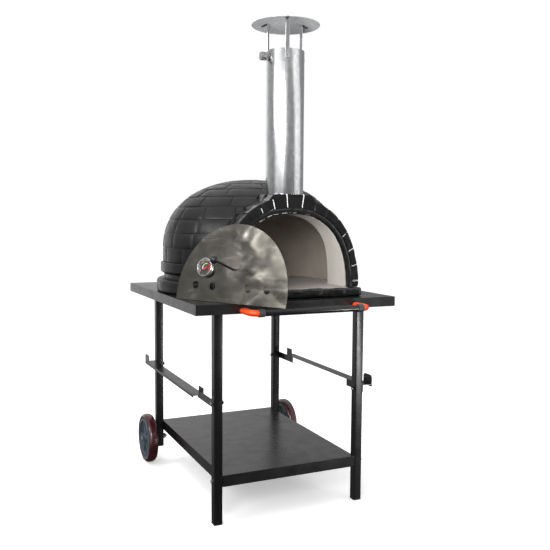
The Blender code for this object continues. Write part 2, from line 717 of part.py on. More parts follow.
def flue_cylinder(radius, low, high, segments=48):
    bm = lathe([(0, low), (radius, low), (radius, high), (0, high)], segments)
    return turned(bm, Matrix.Translation((0, back(FLUE_DEPTH), 0)))


def front_arch(liner_room, throat):
    """The black brick hood, its inner trim and the refractory tunnel behind them."""
    outline = [(x, max(z, HEARTH_TOP + GAP)) for x, z in hood_outline(0, HEARTH_TOP)]
    hood = make("front_arch", prism(outline, back(HOOD_FRONT), back(HOOD_BACK), along_y), "black_glaze")
    dome_room = tool("dome_room", at_dome(lathe([(0, 0.7)] + dome_line(SHELL + BLANKET - GAP, 0.7), ROUND)))
    step = tool("base_step", box((-0.4, back(LIP_BACK) - GAP, 0.7), (0.4, back(0.4), BASE_TOP + GAP)))
    trim_end = HOOD_FRONT + TRIM_THICK
    trim_room = tool("trim_room", prism(arch(TRIM_ARCH, GAP, 0.7), back(0), back(trim_end) + GAP, along_y))
    socket = tool("flue_socket", flue_cylinder(FLUE_RADIUS + GAP, FLUE_FOOT - GAP, 1.3))
    combine(hood, "DIFFERENCE", liner_room, trim_room, dome_room, step, throat, socket)

    trim = make("mouth_trim", arch_band(TRIM_ARCH, MOUTH_ARCH, HOOD_FRONT, trim_end), "black_glaze")
    bevel = trim.modifiers.new("rounded_edges", "BEVEL")
    bevel.width, bevel.segments, bevel.limit_method = 0.003, 2, "ANGLE"
    bevel.angle_limit = math.radians(60)

    tunnel = arch_band(LINER_ARCH, MOUTH_ARCH, trim_end + GAP, LIP_BACK + LINER_OVERRUN)
    liner = make("mouth_liner", tunnel, "refractory")
    cavity = dome_line(SHELL + BLANKET + REFRACTORY - GAP, 0.7)
    combine(liner, "DIFFERENCE", tool("cavity", at_dome(lathe([(0, 0.7)] + cavity, ROUND))), throat)


def arch_band(outer, inner, start, end):
    """The solid between two arches."""
    foot_z = HEARTH_TOP + GAP
    outline = arch(outer) + list(reversed(arch(inner)))
    outline = [(x, max(z, foot_z)) for x, z in outline]
    bm = bmesh.new()
    add_prism(bm, outline, back(start), back(end), along_y)
    return bm


# Chimney


def chimney():
    centre = (0, back(FLUE_DEPTH), 0)
    low, high = FLUE_FOOT + GAP, FLUE_TOP
    inside = FLUE_RADIUS - FLUE_WALL
    pipe = make(
        "flue_pipe",
        lathe([(inside, low), (FLUE_RADIUS, low), (FLUE_RADIUS, high), (inside, high)], 48),
        "galvanised",
        location=centre,
    )
    y = back(FLUE_DEPTH)
    past = FLUE_RADIUS + PAST
    hole = rod((-past, y, DAMPER_HEIGHT), (past, y, DAMPER_HEIGHT), DAMPER_ROD + ROD_CLEAR, 16)
    combine(pipe, "DIFFERENCE", tool("damper_hole", hole))
    cone = [
        (0, CAP_APEX),
        (CAP_RADIUS, CAP_RIM),
        (CAP_RADIUS, CAP_RIM - FLUE_WALL),
        (0, CAP_APEX - FLUE_WALL),
    ]
    make("rain_cap", lathe(cone, 48), "galvanised", location=centre)

    slope = (CAP_APEX - CAP_RIM) / CAP_RADIUS

    def under_cap(radius):
        return CAP_APEX - FLUE_WALL - slope * radius - 2 * GAP

    inner, outer = FLUE_RADIUS + GAP, FLUE_RADIUS + GAP + SHEET
    outline = [
        (inner, STRIP_FOOT),
        (outer, STRIP_FOOT),
        (outer, under_cap(outer) - SHEET),
        (STRIP_REACH, under_cap(STRIP_REACH) - SHEET),
        (STRIP_REACH, under_cap(STRIP_REACH)),
        (inner, under_cap(inner)),
    ]
    for i, angle in enumerate(STRIP_ANGLES, 1):
        bm = prism(outline, -STRIP_WIDTH / 2, STRIP_WIDTH / 2, along_y)
        turned(bm, Matrix.Rotation(math.radians(angle), 4, "Z"))
        make(f"cap_strip_{i}", bm, "galvanised", location=centre)


def damper():
    """A butterfly plate on a rod across the top of the pipe, turned by a round knob on the left."""
    pivot = bpy.data.objects.new("damper_axis", None)
    bpy.context.scene.collection.objects.link(pivot)
    pivot.location = (0, back(FLUE_DEPTH), DAMPER_HEIGHT)
    knob_start = FLUE_RADIUS + KNOB_STANDOFF
    left, right = -knob_start - KNOB_LENGTH - 0.001, FLUE_RADIUS + KNOB_STANDOFF
    make("damper_rod", rod((left, 0, 0), (right, 0, 0), DAMPER_ROD, 16), "zinc", pivot)
    lift = DAMPER_ROD + GAP
    plate = lathe([(0, lift), (DAMPER_PLATE, lift), (DAMPER_PLATE, lift + 0.0015), (0, lift + 0.0015)], 40)
    make("damper_plate", plate, "galvanised", pivot)
    bore, edge = DAMPER_ROD + GAP, 0.002
    end = -knob_start - KNOB_LENGTH
    knob = lathe(
        [
            (bore, end),
            (KNOB_RADIUS - edge, end),
            (KNOB_RADIUS, end + edge),
            (KNOB_RADIUS, -knob_start - edge),
            (KNOB_RADIUS - edge, -knob_start),
            (bore, -knob_start),
        ],
        24,
    )
    make("damper_knob", turned(knob, ABOUT_X), "zinc", pivot)
    near, far = -FLUE_RADIUS - GAP - SHEET, -FLUE_RADIUS - GAP
    washer = lathe([(bore, near), (WASHER_RADIUS, near), (WASHER_RADIUS, far), (bore, far)], 24)
    make("damper_washer", turned(washer, ABOUT_X), "zinc", location=pivot.location)


# Door


def door():
    """The loose door, leaning on the left shoulder of the hood."""
    frame = bpy.data.objects.new("door_frame", None)
    bpy.context.scene.collection.objects.link(frame)
    lean, turn = math.radians(DOOR_LEAN), math.radians(DOOR_TURN)
    x, depth = DOOR_CORNER
    frame.location = (x, back(depth), TABLE_HEIGHT + GAP + DOOR_SHEET * math.sin(lean))
    frame.rotation_euler = (Matrix.Rotation(turn, 3, "Z") @ Matrix.Rotation(-lean, 3, "X")).to_euler()

    half, steps = DOOR_WIDTH / 2, 40
    rise = DOOR_HEIGHT - DOOR_SIDE
    outline = [(half, 0.0), (DOOR_WIDTH, 0.0)]
    for i in range(steps + 1):
        angle = math.pi * i / steps
        outline.append((half + half * math.cos(angle), DOOR_SIDE + rise * math.sin(angle)))
    outline.append((0.0, 0.0))
    panel = make("door_panel", prism(outline, 0, DOOR_SHEET, along_y), "stainless", frame)
    holes = [(half + offset, VENT_HEIGHT, VENT_RADIUS) for offset in VENT_OFFSETS]
    holes.append((half + DIAL_OFFSET, DIAL_HEIGHT, STEM_RADIUS + 0.0005))
    holes.append((half, GRIP_HEIGHT, GRIP_RADIUS + 0.0009))
    cutters = bmesh.new()
    for hx, hz, radius in holes:
        count = 28 if radius == VENT_RADIUS else 16
        turns = [2 * math.pi * i / count for i in range(count)]
        ring = [(hx + radius * math.cos(turn), hz + radius * math.sin(turn)) for turn in turns]
        add_prism(cutters, ring, -PAST, DOOR_SHEET + PAST, along_y)
    combine(panel, "DIFFERENCE", tool("door_holes", cutters, frame))

    tilt = math.radians(GRIP_TILT)
    out = Vector((0, -math.cos(tilt), math.sin(tilt)))
    root = Vector((half, 0, GRIP_HEIGHT))
    grip = rod(root - out * 0.008, root + out * (GRIP_LENGTH - GRIP_BALL), GRIP_RADIUS, 16)
    make("door_handle_rod", grip, "black_steel", frame)
    turns = [math.radians(-64 + 14 * i) for i in range(11)]
    ball_profile = [(0, GRIP_BALL * -0.9)]  # flattened where the rod meets it
    ball_profile += [(GRIP_BALL * math.cos(a), GRIP_BALL * math.sin(a)) for a in turns]
    ball_profile.append((0, GRIP_BALL))
    turn_out = Vector((0, 0, 1)).rotation_difference(out).to_matrix().to_4x4()
    place = Matrix.Translation(root + out * (GRIP_LENGTH + GAP - 0.001)) @ turn_out
    make("door_knob", turned(lathe(ball_profile, 24), place), "black_plastic", frame)
    thermometer(frame, Vector((half + DIAL_OFFSET, 0, DIAL_HEIGHT)))


def thermometer(frame, centre):
    """A dial thermometer: a cup with a bezel, a stem through the panel, a dial, a needle and a glass."""
    wall, floor = 0.002, 0.002
    back_y = -GAP
    front_y = back_y - CASE_DEPTH
    rim_in = CASE_RADIUS - 0.004
    cup = [
        (0, -STEM_LENGTH),
        (STEM_RADIUS, -STEM_LENGTH),
        (STEM_RADIUS, -back_y),
        (CASE_RADIUS - 0.002, -back_y),
        (CASE_RADIUS - 0.002, -front_y - 0.004),
        (CASE_RADIUS, -front_y - 0.003),
        (CASE_RADIUS, -front_y - 0.001),
        (CASE_RADIUS - 0.001, -front_y),
        (rim_in, -front_y),
        (rim_in, -back_y + floor),
        (0, -back_y + floor),
    ]
    # the lathe's +Z points out of the door, so its local Y is turned about
    out = Matrix.Translation(centre) @ Matrix.Rotation(math.radians(90), 4, "X")
    make("thermometer_case", turned(lathe(cup, 32), out), "stainless", frame)
    base = -back_y + floor + GAP
    dial_r = rim_in - GAP
    dial = [(0, base), (dial_r, base), (dial_r, base + 0.001), (0, base + 0.001)]
    make("thermometer_dial", turned(lathe(dial, 32), out), "dial_face", frame)
    pin = bpy.data.objects.new("needle_axis", None)
    bpy.context.scene.collection.objects.link(pin)
    pin.parent = frame
    pin.matrix_local = out
    level = base + 0.001 + GAP
    needle = bmesh.new()
    wide, fine, tail, tip = NEEDLE_WIDTH / 2, 0.0004, -0.007, NEEDLE_REACH
    outline = [(-wide, tail), (wide, tail), (wide, 0.002), (fine, tip), (-fine, tip), (-wide, 0.002)]
    rest = Matrix.Rotation(math.radians(NEEDLE_REST), 4, "Z")
    add_prism(needle, outline, level, level + 0.0008, along_z)
    make("thermometer_needle", turned(needle, rest), "needle_red", pin)
    glass_r = rim_in - GAP
    glass_z = -front_y - wall - 0.001
    glass = [(0, glass_z - 0.0015), (glass_r, glass_z - 0.0015), (glass_r, glass_z), (0, glass_z)]
    make("thermometer_glass", turned(lathe(glass, 32), out), "glass", frame)


def main():
    clear_scene()
    tabletop()
    for name, side in signs():
        leg(f"leg_front_{name}", side, FRONT_LEG_DEPTH, FOOT_THICK + GAP)
        leg(f"leg_rear_{name}", side, REAR_LEG_DEPTH, REAR_LEG_END)
        foot(f"foot_front_{name}", side)
        wheel(name, side)
    lower_shelf()
    side_rail("left", -1, -1)
    side_rail("right", 1, 1)
    push_bar()
    oven_base()
    hearth()
    domes()
    chimney()
    damper()
    door()


main()
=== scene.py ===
"""Looks of the wood fired pizza oven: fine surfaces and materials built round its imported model.

Metres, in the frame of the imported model: +Z up, the oven's mouth facing -Y, +X on its right.
"""

import json
import math
import random

import bmesh
import bpy
from mathutils import Matrix, Vector, noise

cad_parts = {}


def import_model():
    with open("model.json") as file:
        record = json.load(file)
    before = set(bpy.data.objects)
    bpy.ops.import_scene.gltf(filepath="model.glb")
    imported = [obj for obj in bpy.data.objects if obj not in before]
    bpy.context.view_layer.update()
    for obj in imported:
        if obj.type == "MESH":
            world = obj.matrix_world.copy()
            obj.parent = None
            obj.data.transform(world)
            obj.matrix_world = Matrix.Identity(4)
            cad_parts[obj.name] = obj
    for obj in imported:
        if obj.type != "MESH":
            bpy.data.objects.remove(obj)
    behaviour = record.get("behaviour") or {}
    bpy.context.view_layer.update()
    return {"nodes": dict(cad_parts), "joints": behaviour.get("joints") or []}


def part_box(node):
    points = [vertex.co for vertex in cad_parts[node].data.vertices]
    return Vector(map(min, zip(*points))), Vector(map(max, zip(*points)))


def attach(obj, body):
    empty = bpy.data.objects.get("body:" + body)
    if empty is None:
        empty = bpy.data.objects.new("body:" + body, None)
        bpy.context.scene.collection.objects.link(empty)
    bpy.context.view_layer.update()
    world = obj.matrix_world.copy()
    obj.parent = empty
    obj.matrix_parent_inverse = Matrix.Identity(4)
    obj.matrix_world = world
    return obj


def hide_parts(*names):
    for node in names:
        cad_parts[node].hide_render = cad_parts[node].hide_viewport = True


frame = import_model()
nodes = frame["nodes"]
SIDES = ("left", "right")
ENDS = ("front", "rear")


def low(node):
    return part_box(node)[0]


def high(node):
    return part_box(node)[1]


def middle(node):
    a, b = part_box(node)
    return (a + b) / 2


# Places and sizes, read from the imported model
TABLE_FRONT = low("tabletop").y
HEARTH_TOP = high("hearth_tile_front").z
BASE_RADIUS = high("oven_base").x
BASE_LOW, BASE_TOP = low("oven_base").z, high("oven_base").z
DOME_APEX = high("outer_dome").z
FLUE_Y = middle("flue_pipe").y
FLUE_RADIUS = high("flue_pipe").x
FLUE_TOP = high("flue_pipe").z
HOOD_FRONT = low("front_arch").y
LINER_BACK = high("mouth_liner").y
LINER_FRONT = low("mouth_liner").y

# Shapes shared with the model: half width, height above the hearth and superellipse power of each arch
HOOD_ARCH = (high("front_arch").x, 0.312, 2.2)
TRIM_ARCH = (0.238, 0.275, 2.3)
LINER_ARCH = (0.230, 0.269, 2.35)
MOUTH_ARCH = (0.216, 0.255, 2.35)
KEY_FOOT, KEY_HEAD, KEY_TOP = 0.092, 0.077, high("front_arch").z
KEY_SHOULDER = 0.293  # height above the hearth where the keystone's sides meet the arch
DOME_RADIUS, DOME_POWER, SPRING = 0.339, 2.2, 0.905
DOME_RISE = DOME_APEX - SPRING
NECK_RADIUS, NECK_TOP = 0.335, 0.820
FLANGE_RADIUS, FLANGE_TOP = high("outer_dome").x, 0.858
DOME_Y = high("outer_dome").y - FLANGE_RADIUS
DOME_WALL = 0.021  # paint shell and blanket together
REFRACTORY = 0.016
THROAT_RADIUS = 0.045
ARCH_FOOT = HEARTH_TOP + 0.0003  # the arches stand just clear of the tiles

# Shapes that are cut away start below the hearth and end inside the hollow dome
CUT_LOW = 0.7
CUT_BACK = DOME_Y - 0.1
FLUE_CUT = (1.0, 1.3)  # the heights between which the way into the flue is cut


# Materials


class Nodes:
    """A node tree, with short calls that add to it."""

    def __init__(self, tree):
        self.tree = tree

    def add(self, kind, inputs=None, **settings):
        """A new node, with its inputs linked or set."""
        node = self.tree.nodes.new(kind)
        for name, value in settings.items():
            setattr(node, name, value)
        for name, value in (inputs or {}).items():
            self.feed(node.inputs[name], value)
        return node

    def feed(self, socket, value):
        if isinstance(value, bpy.types.NodeSocket):
            self.tree.links.new(value, socket)
        elif isinstance(value, tuple) and len(value) == 3 and socket.type == "RGBA":
            socket.default_value = (*value, 1)
        else:
            socket.default_value = value

    def spread(self, value, start, end, to_start=0.0, to_end=1.0):
        """Carry start..end smoothly over to to_start..to_end."""
        inputs = {"Value": value, "From Min": start, "From Max": end, "To Min": to_start, "To Max": to_end}
        return self.add("ShaderNodeMapRange", inputs, interpolation_type="SMOOTHSTEP").outputs["Result"]

    def maths(self, operation, *values):
        return self.add("ShaderNodeMath", dict(enumerate(values)), operation=operation).outputs[0]

    def blend(self, factor, a, b):
        return self.add("ShaderNodeMix", {"Factor": factor, 6: a, 7: b}, data_type="RGBA").outputs[2]


class Surface(Nodes):
    """A material, made of noises and cells that stay fixed to its object."""

    def __init__(self, name, colour, roughness, metallic=0.0, **fixed):
        self.material = bpy.data.materials.new(name)
        self.material.use_nodes = True
        super().__init__(self.material.node_tree)
        self.shader = self.tree.nodes["Principled BSDF"]
        self.colour(colour)
        self.roughness(roughness)
        for name, value in {"Metallic": metallic, **fixed}.items():
            self.feed(self.shader.inputs[name.replace("_", " ")], value)
        self.place = self.add("ShaderNodeTexCoord").outputs["Object"]
        self.normal = None

    def stretched(self, scale):
        if scale is None:
            return self.place
        return self.add("ShaderNodeMapping", {"Vector": self.place, "Scale": scale}).outputs["Vector"]

    def noise(self, scale, detail, rough=0.55, distortion=0.0, stretch=None):
        inputs = {"Vector": self.stretched(stretch), "Scale": scale, "Detail": detail}
        inputs |= {"Roughness": rough, "Distortion": distortion}
        return self.add("ShaderNodeTexNoise", inputs).outputs["Fac"]

    def cells(self, scale, output="Distance", stretch=None):
        inputs = {"Vector": self.stretched(stretch), "Scale": scale}
        return self.add("ShaderNodeTexVoronoi", inputs).outputs[output]

    def colour(self, value):
        self.feed(self.shader.inputs["Base Color"], value)

    def roughness(self, value):
        self.feed(self.shader.inputs["Roughness"], value)

    def bump(self, height, distance, strength):
        """Fine relief, over any that is there already."""
        inputs = {"Height": height, "Distance": distance, "Strength": strength}
        if self.normal:
            inputs["Normal"] = self.normal
        self.normal = self.add("ShaderNodeBump", inputs).outputs["Normal"]
        self.feed(self.shader.inputs["Normal"], self.normal)


def powder_coat(name, tone=0.006, roughness=0.28):
    """Black powder coat: orange peel, faint dust and a slightly uneven sheen."""
    s = Surface(name, (tone,) * 3, roughness)
    cloud = s.noise(9, 5, 0.6)
    dusty = (tone * 1.2, tone * 1.22, tone * 1.25)
    s.colour(s.blend(s.spread(cloud, 0.35, 0.75), (tone, tone, tone * 1.05), dusty))
    s.roughness(s.spread(s.noise(22, 6), 0.3, 0.75, roughness - 0.03, roughness + 0.05))
    s.bump(s.noise(700, 2), 0.00006, 0.25)
    return s.material


def dome_paint():
    """Satin charcoal paint over cast render, with fine grain, rubbed patches and a few bare specks."""
    s = Surface("charcoal_render", (0.02, 0.02, 0.02), 0.42, Specular_IOR_Level=0.34)
    cloud = s.noise(7, 6, 0.62)
    base = s.blend(s.spread(cloud, 0.35, 0.7), (0.0035, 0.0035, 0.0038), (0.010, 0.010, 0.0105))
    rubbed = s.spread(s.noise(38, 8, 0.7), 0.62, 0.78)
    base = s.blend(rubbed, base, (0.022, 0.022, 0.0225))
    specks = s.spread(s.cells(26), 0.05, 0.035)
    chance = s.spread(s.noise(5.5, 2), 0.60, 0.66)
    s.colour(s.blend(s.maths("MULTIPLY", specks, chance), base, (0.42, 0.41, 0.40)))
    s.roughness(s.spread(s.noise(30, 6), 0.3, 0.75, 0.28, 0.44))
    s.bump(s.noise(60, 5, 0.6), 0.0012, 0.45)
    s.bump(s.noise(420, 4), 0.0003, 0.5)
    return s.material


def black_glaze():
    """Thick brushed gloss paint over rough cast bricks."""
    s = Surface("gloss_black_brick", (0.008, 0.008, 0.008), 0.16, Coat_Weight=0.35, Coat_Roughness=0.08)
    cloud = s.noise(16, 5, 0.6)
    s.colour(s.blend(s.spread(cloud, 0.4, 0.75), (0.0018, 0.0018, 0.002), (0.006, 0.006, 0.0065)))
    s.roughness(s.spread(s.noise(48, 6), 0.35, 0.75, 0.08, 0.20))
    s.bump(s.noise(34, 3, 0.5, 0.5), 0.0026, 0.5)
    s.bump(s.noise(170, 4, 0.6), 0.0004, 0.4)
    return s.material


def mortar():
    s = Surface("white_mortar", (0.50, 0.49, 0.47), 0.9)
    s.colour(s.blend(s.noise(90, 5), (0.38, 0.375, 0.36), (0.62, 0.615, 0.595)))
    s.bump(s.noise(260, 4), 0.0006, 0.6)
    return s.material


def refractory(name, light, dark, soot=0.0):
    """Cream cast refractory: fine grit, small pits, trowel marks and a little soot."""
    s = Surface(name, light, 0.88)
    cloud = s.noise(6, 6, 0.6)
    base = s.blend(s.spread(cloud, 0.32, 0.72), light, dark)
    grit = s.spread(s.noise(240, 3), 0.58, 0.72)
    base = s.blend(grit, base, tuple(0.72 * c for c in dark))
    if soot:
        base = s.blend(s.spread(s.noise(3.5, 4), 0.45, 0.75, 0, soot), base, (0.16, 0.14, 0.12))
    s.colour(base)
    pits = s.spread(s.cells(85), 0.12, 0.02)
    s.bump(pits, 0.0012, 0.35)
    s.bump(s.noise(22, 6, 0.6), 0.0016, 0.5)
    s.bump(s.noise(330, 4), 0.0004, 0.6)
    return s.material


def insulation():
    s = Surface("ceramic_fibre", (0.8, 0.78, 0.72), 0.95, Sheen_Weight=0.3)
    s.colour(s.blend(s.noise(60, 6), (0.72, 0.70, 0.64), (0.86, 0.84, 0.79)))
    s.bump(s.noise(180, 6, 0.7), 0.0015, 0.7)
    return s.material


def galvanised(name, tone, roughness=0.24, metallic=1.0):
    """Zinc coated sheet: flat spangle crystals, rolling streaks up the sheet and pale bloom."""
    s = Surface(name, (tone,) * 3, roughness, metallic)
    spangle = s.cells(95, "Color", stretch=(1, 1, 0.55))
    to_grey = s.add("ShaderNodeRGBToBW", {0: spangle})
    streak = s.noise(70, 4, 0.6, stretch=(1, 1, 0.05))
    bloom = s.noise(14, 6, 0.65, stretch=(1, 1, 0.35))
    dark, pale = (tone * 0.86, tone * 0.88, tone * 0.91), (tone * 1.05,) * 3
    base = s.blend(s.spread(to_grey.outputs[0], 0.1, 0.9), dark, pale)
    base = s.blend(s.spread(bloom, 0.5, 0.8, 0, 0.6), base, (tone * 0.72, tone * 0.74, tone * 0.78))
    s.colour(base)
    s.roughness(s.spread(streak, 0.3, 0.7, roughness - 0.05, roughness + 0.09))
    s.bump(streak, 0.00025, 0.35)
    s.bump(s.noise(9, 3, 0.5, stretch=(1, 1, 0.3)), 0.0018, 0.35)
    return s.material


def stainless():
    """Thin sheet off the roll: soft waves that bend its reflections, faint clouds and fine brushing."""
    s = Surface("cloudy_stainless", (0.42, 0.40, 0.36), 0.2, 1.0)
    cloud = s.noise(7, 3, 0.5, 0.6)
    base = s.blend(s.spread(cloud, 0.3, 0.7), (0.24, 0.228, 0.20), (0.165, 0.158, 0.137))
    smear = s.noise(13, 3, 0.5, 1.0, stretch=(0.6, 1, 1.5))
    s.colour(s.blend(s.spread(smear, 0.55, 0.75, 0, 0.35), base, (0.47, 0.457, 0.425)))
    s.roughness(s.spread(smear, 0.3, 0.75, 0.15, 0.27))
    s.bump(s.noise(900, 2, stretch=(0.02, 1, 1)), 0.00004, 0.3)
    s.bump(s.noise(8, 1.5, 0.4, 0.5, stretch=(0.7, 1, 1.5)), 0.0075, 0.8)
    return s.material


def bright_metal(name, tone=0.62, roughness=0.28):
    s = Surface(name, (tone,) * 3, roughness, 1.0)
    s.colour(s.blend(s.noise(120, 4), (tone * 0.82,) * 3, (tone, tone, tone * 0.98)))
    s.roughness(s.spread(s.noise(260, 4), 0.3, 0.7, roughness - 0.06, roughness + 0.12))
    s.bump(s.noise(500, 3), 0.0001, 0.4)
    return s.material


def plastic(name, colour, roughness=0.4, grain=0.00015):
    s = Surface(name, colour, roughness)
    dark, pale = (tuple(min(1, share * c) for c in colour) for share in (0.86, 1.1))
    s.colour(s.blend(s.noise(60, 4), dark, pale))
    s.roughness(s.spread(s.noise(90, 5), 0.3, 0.7, roughness - 0.06, roughness + 0.08))
    s.bump(s.noise(650, 3), grain, 0.5)
    return s.material


def polyurethane():
    """Glossy maroon tread under a clear coat, with uneven tone, fine grain and dust."""
    s = Surface("maroon_tread", (0.09, 0.008, 0.014), 0.3, Coat_Weight=0.4, Coat_Roughness=0.15)
    s.colour(s.blend(s.spread(s.noise(14, 5), 0.35, 0.7), (0.026, 0.0025, 0.0045), (0.055, 0.005, 0.009)))
    s.roughness(s.spread(s.noise(160, 6, 0.7), 0.35, 0.75, 0.24, 0.48))
    s.bump(s.noise(420, 3), 0.0002, 0.5)
    return s.material


def glass():
    s = Surface("dial_glass", (1, 1, 1), 0.03, Transmission_Weight=1.0, IOR=1.5)
    s.roughness(s.spread(s.noise(60, 4), 0.4, 0.8, 0.02, 0.08))
    return s.material


STEEL = powder_coat("black_powder_coat")
PAINT = dome_paint()
GLAZE = black_glaze()
MORTAR = mortar()
CREAM = refractory("cream_refractory", (0.56, 0.535, 0.495), (0.49, 0.465, 0.42))
CAVITY = refractory("dome_refractory", (0.42, 0.38, 0.325), (0.35, 0.315, 0.265), 0.12)
TILES = refractory("hearth_tile", (0.46, 0.435, 0.41), (0.40, 0.375, 0.35))
FIBRE = insulation()
PIPE = galvanised("galvanised_pipe", 0.74, 0.2)
CAP = galvanised("galvanised_cap", 0.62, 0.48, 0.3)
SHEET = stainless()
ZINC = bright_metal("zinc_plate")
CHROME = bright_metal("chrome_bezel", 0.8, 0.12)
HUB = plastic("blue_grey_hub", (0.062, 0.085, 0.105), 0.40)
BLACK_PLASTIC = plastic("black_plastic", (0.010, 0.010, 0.010), 0.14, 0.00005)
GREY_PLASTIC = plastic("grey_plastic", (0.05, 0.05, 0.055), 0.42)
ORANGE = plastic("orange_plastic", (0.83, 0.075, 0.010), 0.34)
TREAD = polyurethane()
BLACK_ROD = powder_coat("black_rod", 0.010, 0.2)
DIAL = plastic("dial_black", (0.02, 0.02, 0.02), 0.45)
WHITE_PRINT = plastic("dial_white", (0.75, 0.75, 0.72), 0.5)
YELLOW_PRINT = plastic("dial_yellow", (0.62, 0.66, 0.06), 0.5)
RED_PRINT = plastic("dial_red", (0.60, 0.02, 0.015), 0.5)
GLASS = glass()


# Mesh tools


def smooth(mesh):
    """Shade smoothly, but for the edges that turn sharply."""
    mesh.shade_smooth()
    mesh.set_sharp_from_angle(angle=math.radians(35))


def applied(obj):
    """The mesh that an object's modifiers make."""
    bpy.context.view_layer.update()
    evaluated = obj.evaluated_get(bpy.context.evaluated_depsgraph_get())
    return bpy.data.meshes.new_from_object(evaluated)


def paint(node, material):
    """Give a CAD node its look and leave its shape alone."""
    nodes[node].data.materials.clear()
    nodes[node].data.materials.append(material)


def piece(name, bm, material, replaced=(), body="cart", place=None):
    """Show a mesh as a piece of the object: it rides on a body and stands for the CAD nodes named."""
    bmesh.ops.recalc_face_normals(bm, faces=bm.faces)
    mesh = bpy.data.meshes.new(name)
    bm.to_mesh(mesh)
    bm.free()
    smooth(mesh)
    mesh.materials.append(material)
    obj = bpy.data.objects.new(name, mesh)
    bpy.context.scene.collection.objects.link(obj)
    if place is not None:
        obj.matrix_world = place
    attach(obj, body)
    if replaced:
        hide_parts(*replaced)
    return obj


def bevelled(obj, width, segments=2, angle=30):
    modifier = obj.modifiers.new("rounded", "BEVEL")
    modifier.width = width
    modifier.segments = segments
    modifier.limit_method = "ANGLE"
    modifier.angle_limit = math.radians(angle)
    modifier.harden_normals = True
    return obj


def refined(node, material, body="cart", width=0.0006):
    """The CAD node again, with its flat faces merged and its edges rounded."""
    bm = bmesh.new()
    bm.from_mesh(nodes[node].data)
    bmesh.ops.remove_doubles(bm, verts=bm.verts, dist=1e-5)
    bmesh.ops.dissolve_limit(bm, angle_limit=math.radians(0.5), verts=bm.verts, edges=bm.edges)
    obj = piece(f"{node}_finish", bm, material, (node,), body)
    return bevelled(obj, width) if width else obj


def cut_away(obj, *cutters):
    """Cut other meshes out of obj for good, and remove them."""
    for i, bm in enumerate(cutters):
        bmesh.ops.recalc_face_normals(bm, faces=bm.faces)
        mesh = bpy.data.meshes.new(f"cutter_{i}")
        bm.to_mesh(mesh)
        bm.free()
        cutter = bpy.data.objects.new(f"cutter_{i}", mesh)
        bpy.context.scene.collection.objects.link(cutter)
        modifier = obj.modifiers.new("cut", "BOOLEAN")
        modifier.object = cutter
        modifier.solver = "EXACT"
    mesh = applied(obj)
    for modifier in list(obj.modifiers):
        if modifier.type == "BOOLEAN":
            bpy.data.objects.remove(modifier.object)
            obj.modifiers.remove(modifier)
    obj.data = mesh
    smooth(mesh)


def lathe(profile, segments):
    """Turn (radius, z) points about Z."""
    bm = bmesh.new()
    rings = []
    for radius, z in profile:
        if radius < 1e-9:
            rings.append([bm.verts.new((0, 0, z))] * segments)
            continue
        turns = [2 * math.pi * i / segments for i in range(segments)]
        rings.append([bm.verts.new((radius * math.cos(a), radius * math.sin(a), z)) for a in turns])
    pairs = list(zip(rings, rings[1:]))
    if profile[0][0] > 1e-9 or profile[-1][0] > 1e-9:
        pairs.append((rings[-1], rings[0]))
    for lower, upper in pairs:
        for i in range(segments):
            j = (i + 1) % segments
            corners = list(dict.fromkeys((lower[i], lower[j], upper[j], upper[i])))
            if len(corners) > 2:
                bm.faces.new(corners)
    return bm


def moved(bm, *matrices):
    for matrix in matrices:
        bmesh.ops.transform(bm, matrix=matrix, verts=bm.verts)
    return bm


def roughen(bm, amount, scale, seed=0.0):
    """Push every point a little along its normal, following smooth noise, as on cast or hand-laid work."""
    bm.normal_update()
    for vert in bm.verts:
        at = vert.co * scale + Vector((seed, seed * 0.7, seed * 1.3))
        vert.co += vert.normal * amount * noise.noise(at)
    return bm


def rounded(points, radius, steps=4):
    """A closed outline of (a, b) points with its corners rounded; a third value overrides the radius."""
    made = []
    count = len(points)
    for i, point in enumerate(points):
        here = Vector(point[:2])
        before, after = Vector(points[i - 1][:2]), Vector(points[(i + 1) % count][:2])
        r = point[2] if len(point) > 2 else radius
        to_before, to_after = (before - here), (after - here)
        reach = min(r, to_before.length * 0.45, to_after.length * 0.45)
        if reach < 1e-6:
            made.append(tuple(here))
            continue
        start, end = here + to_before.normalized() * reach, here + to_after.normalized() * reach
        for k in range(steps + 1):
            t = k / steps
            made.append(tuple(start * (1 - t) ** 2 + here * 2 * t * (1 - t) + end * t * t))
    return made


def skin(bm, rings):
    """One solid through rings of points."""
    for a, b in zip(rings, rings[1:]):
        for i in range(len(a)):
            j = (i + 1) % len(a)
            bm.faces.new((a[i], a[j], b[j], b[i]))
    bm.faces.new(reversed(rings[0]))
    bm.faces.new(rings[-1])


def prism(outline, start, end, place):
    """An outline of (a, b) points carried straight from start to end."""
    bm = bmesh.new()
    skin(bm, [[bm.verts.new(place(a, b, c)) for a, b in outline] for c in (start, end)])
    return bm


def along_y(x, z, y):
    return (x, y, z)


def along_z(x, y, z):
    return (x, y, z)


TO_X = Matrix.Rotation(math.radians(90), 4, "Y")


def at(x, y, z):
    return Matrix.Translation((x, y, z))


def join_into(bm, other):
    """Add the other mesh's faces to bm."""
    mesh = bpy.data.meshes.new("part")
    other.to_mesh(mesh)
    other.free()
    bm.from_mesh(mesh)
    bpy.data.meshes.remove(mesh)


def rivet(bm, at_point, direction, radius=0.003, height=0.0016):
    """A low domed head standing on a surface."""
    steps, sunk = 4, -0.0004
    turns = [math.pi / 2 * i / steps for i in range(steps)]
    dome = [(radius * math.cos(a), height * math.sin(a)) for a in turns]
    head = lathe([(0, sunk), (radius, sunk)] + dome + [(0, height)], 16)
    turn = Vector((0, 0, 1)).rotation_difference(Vector(direction)).to_matrix().to_4x4()
    join_into(bm, moved(head, turn, Matrix.Translation(at_point)))


# The dome


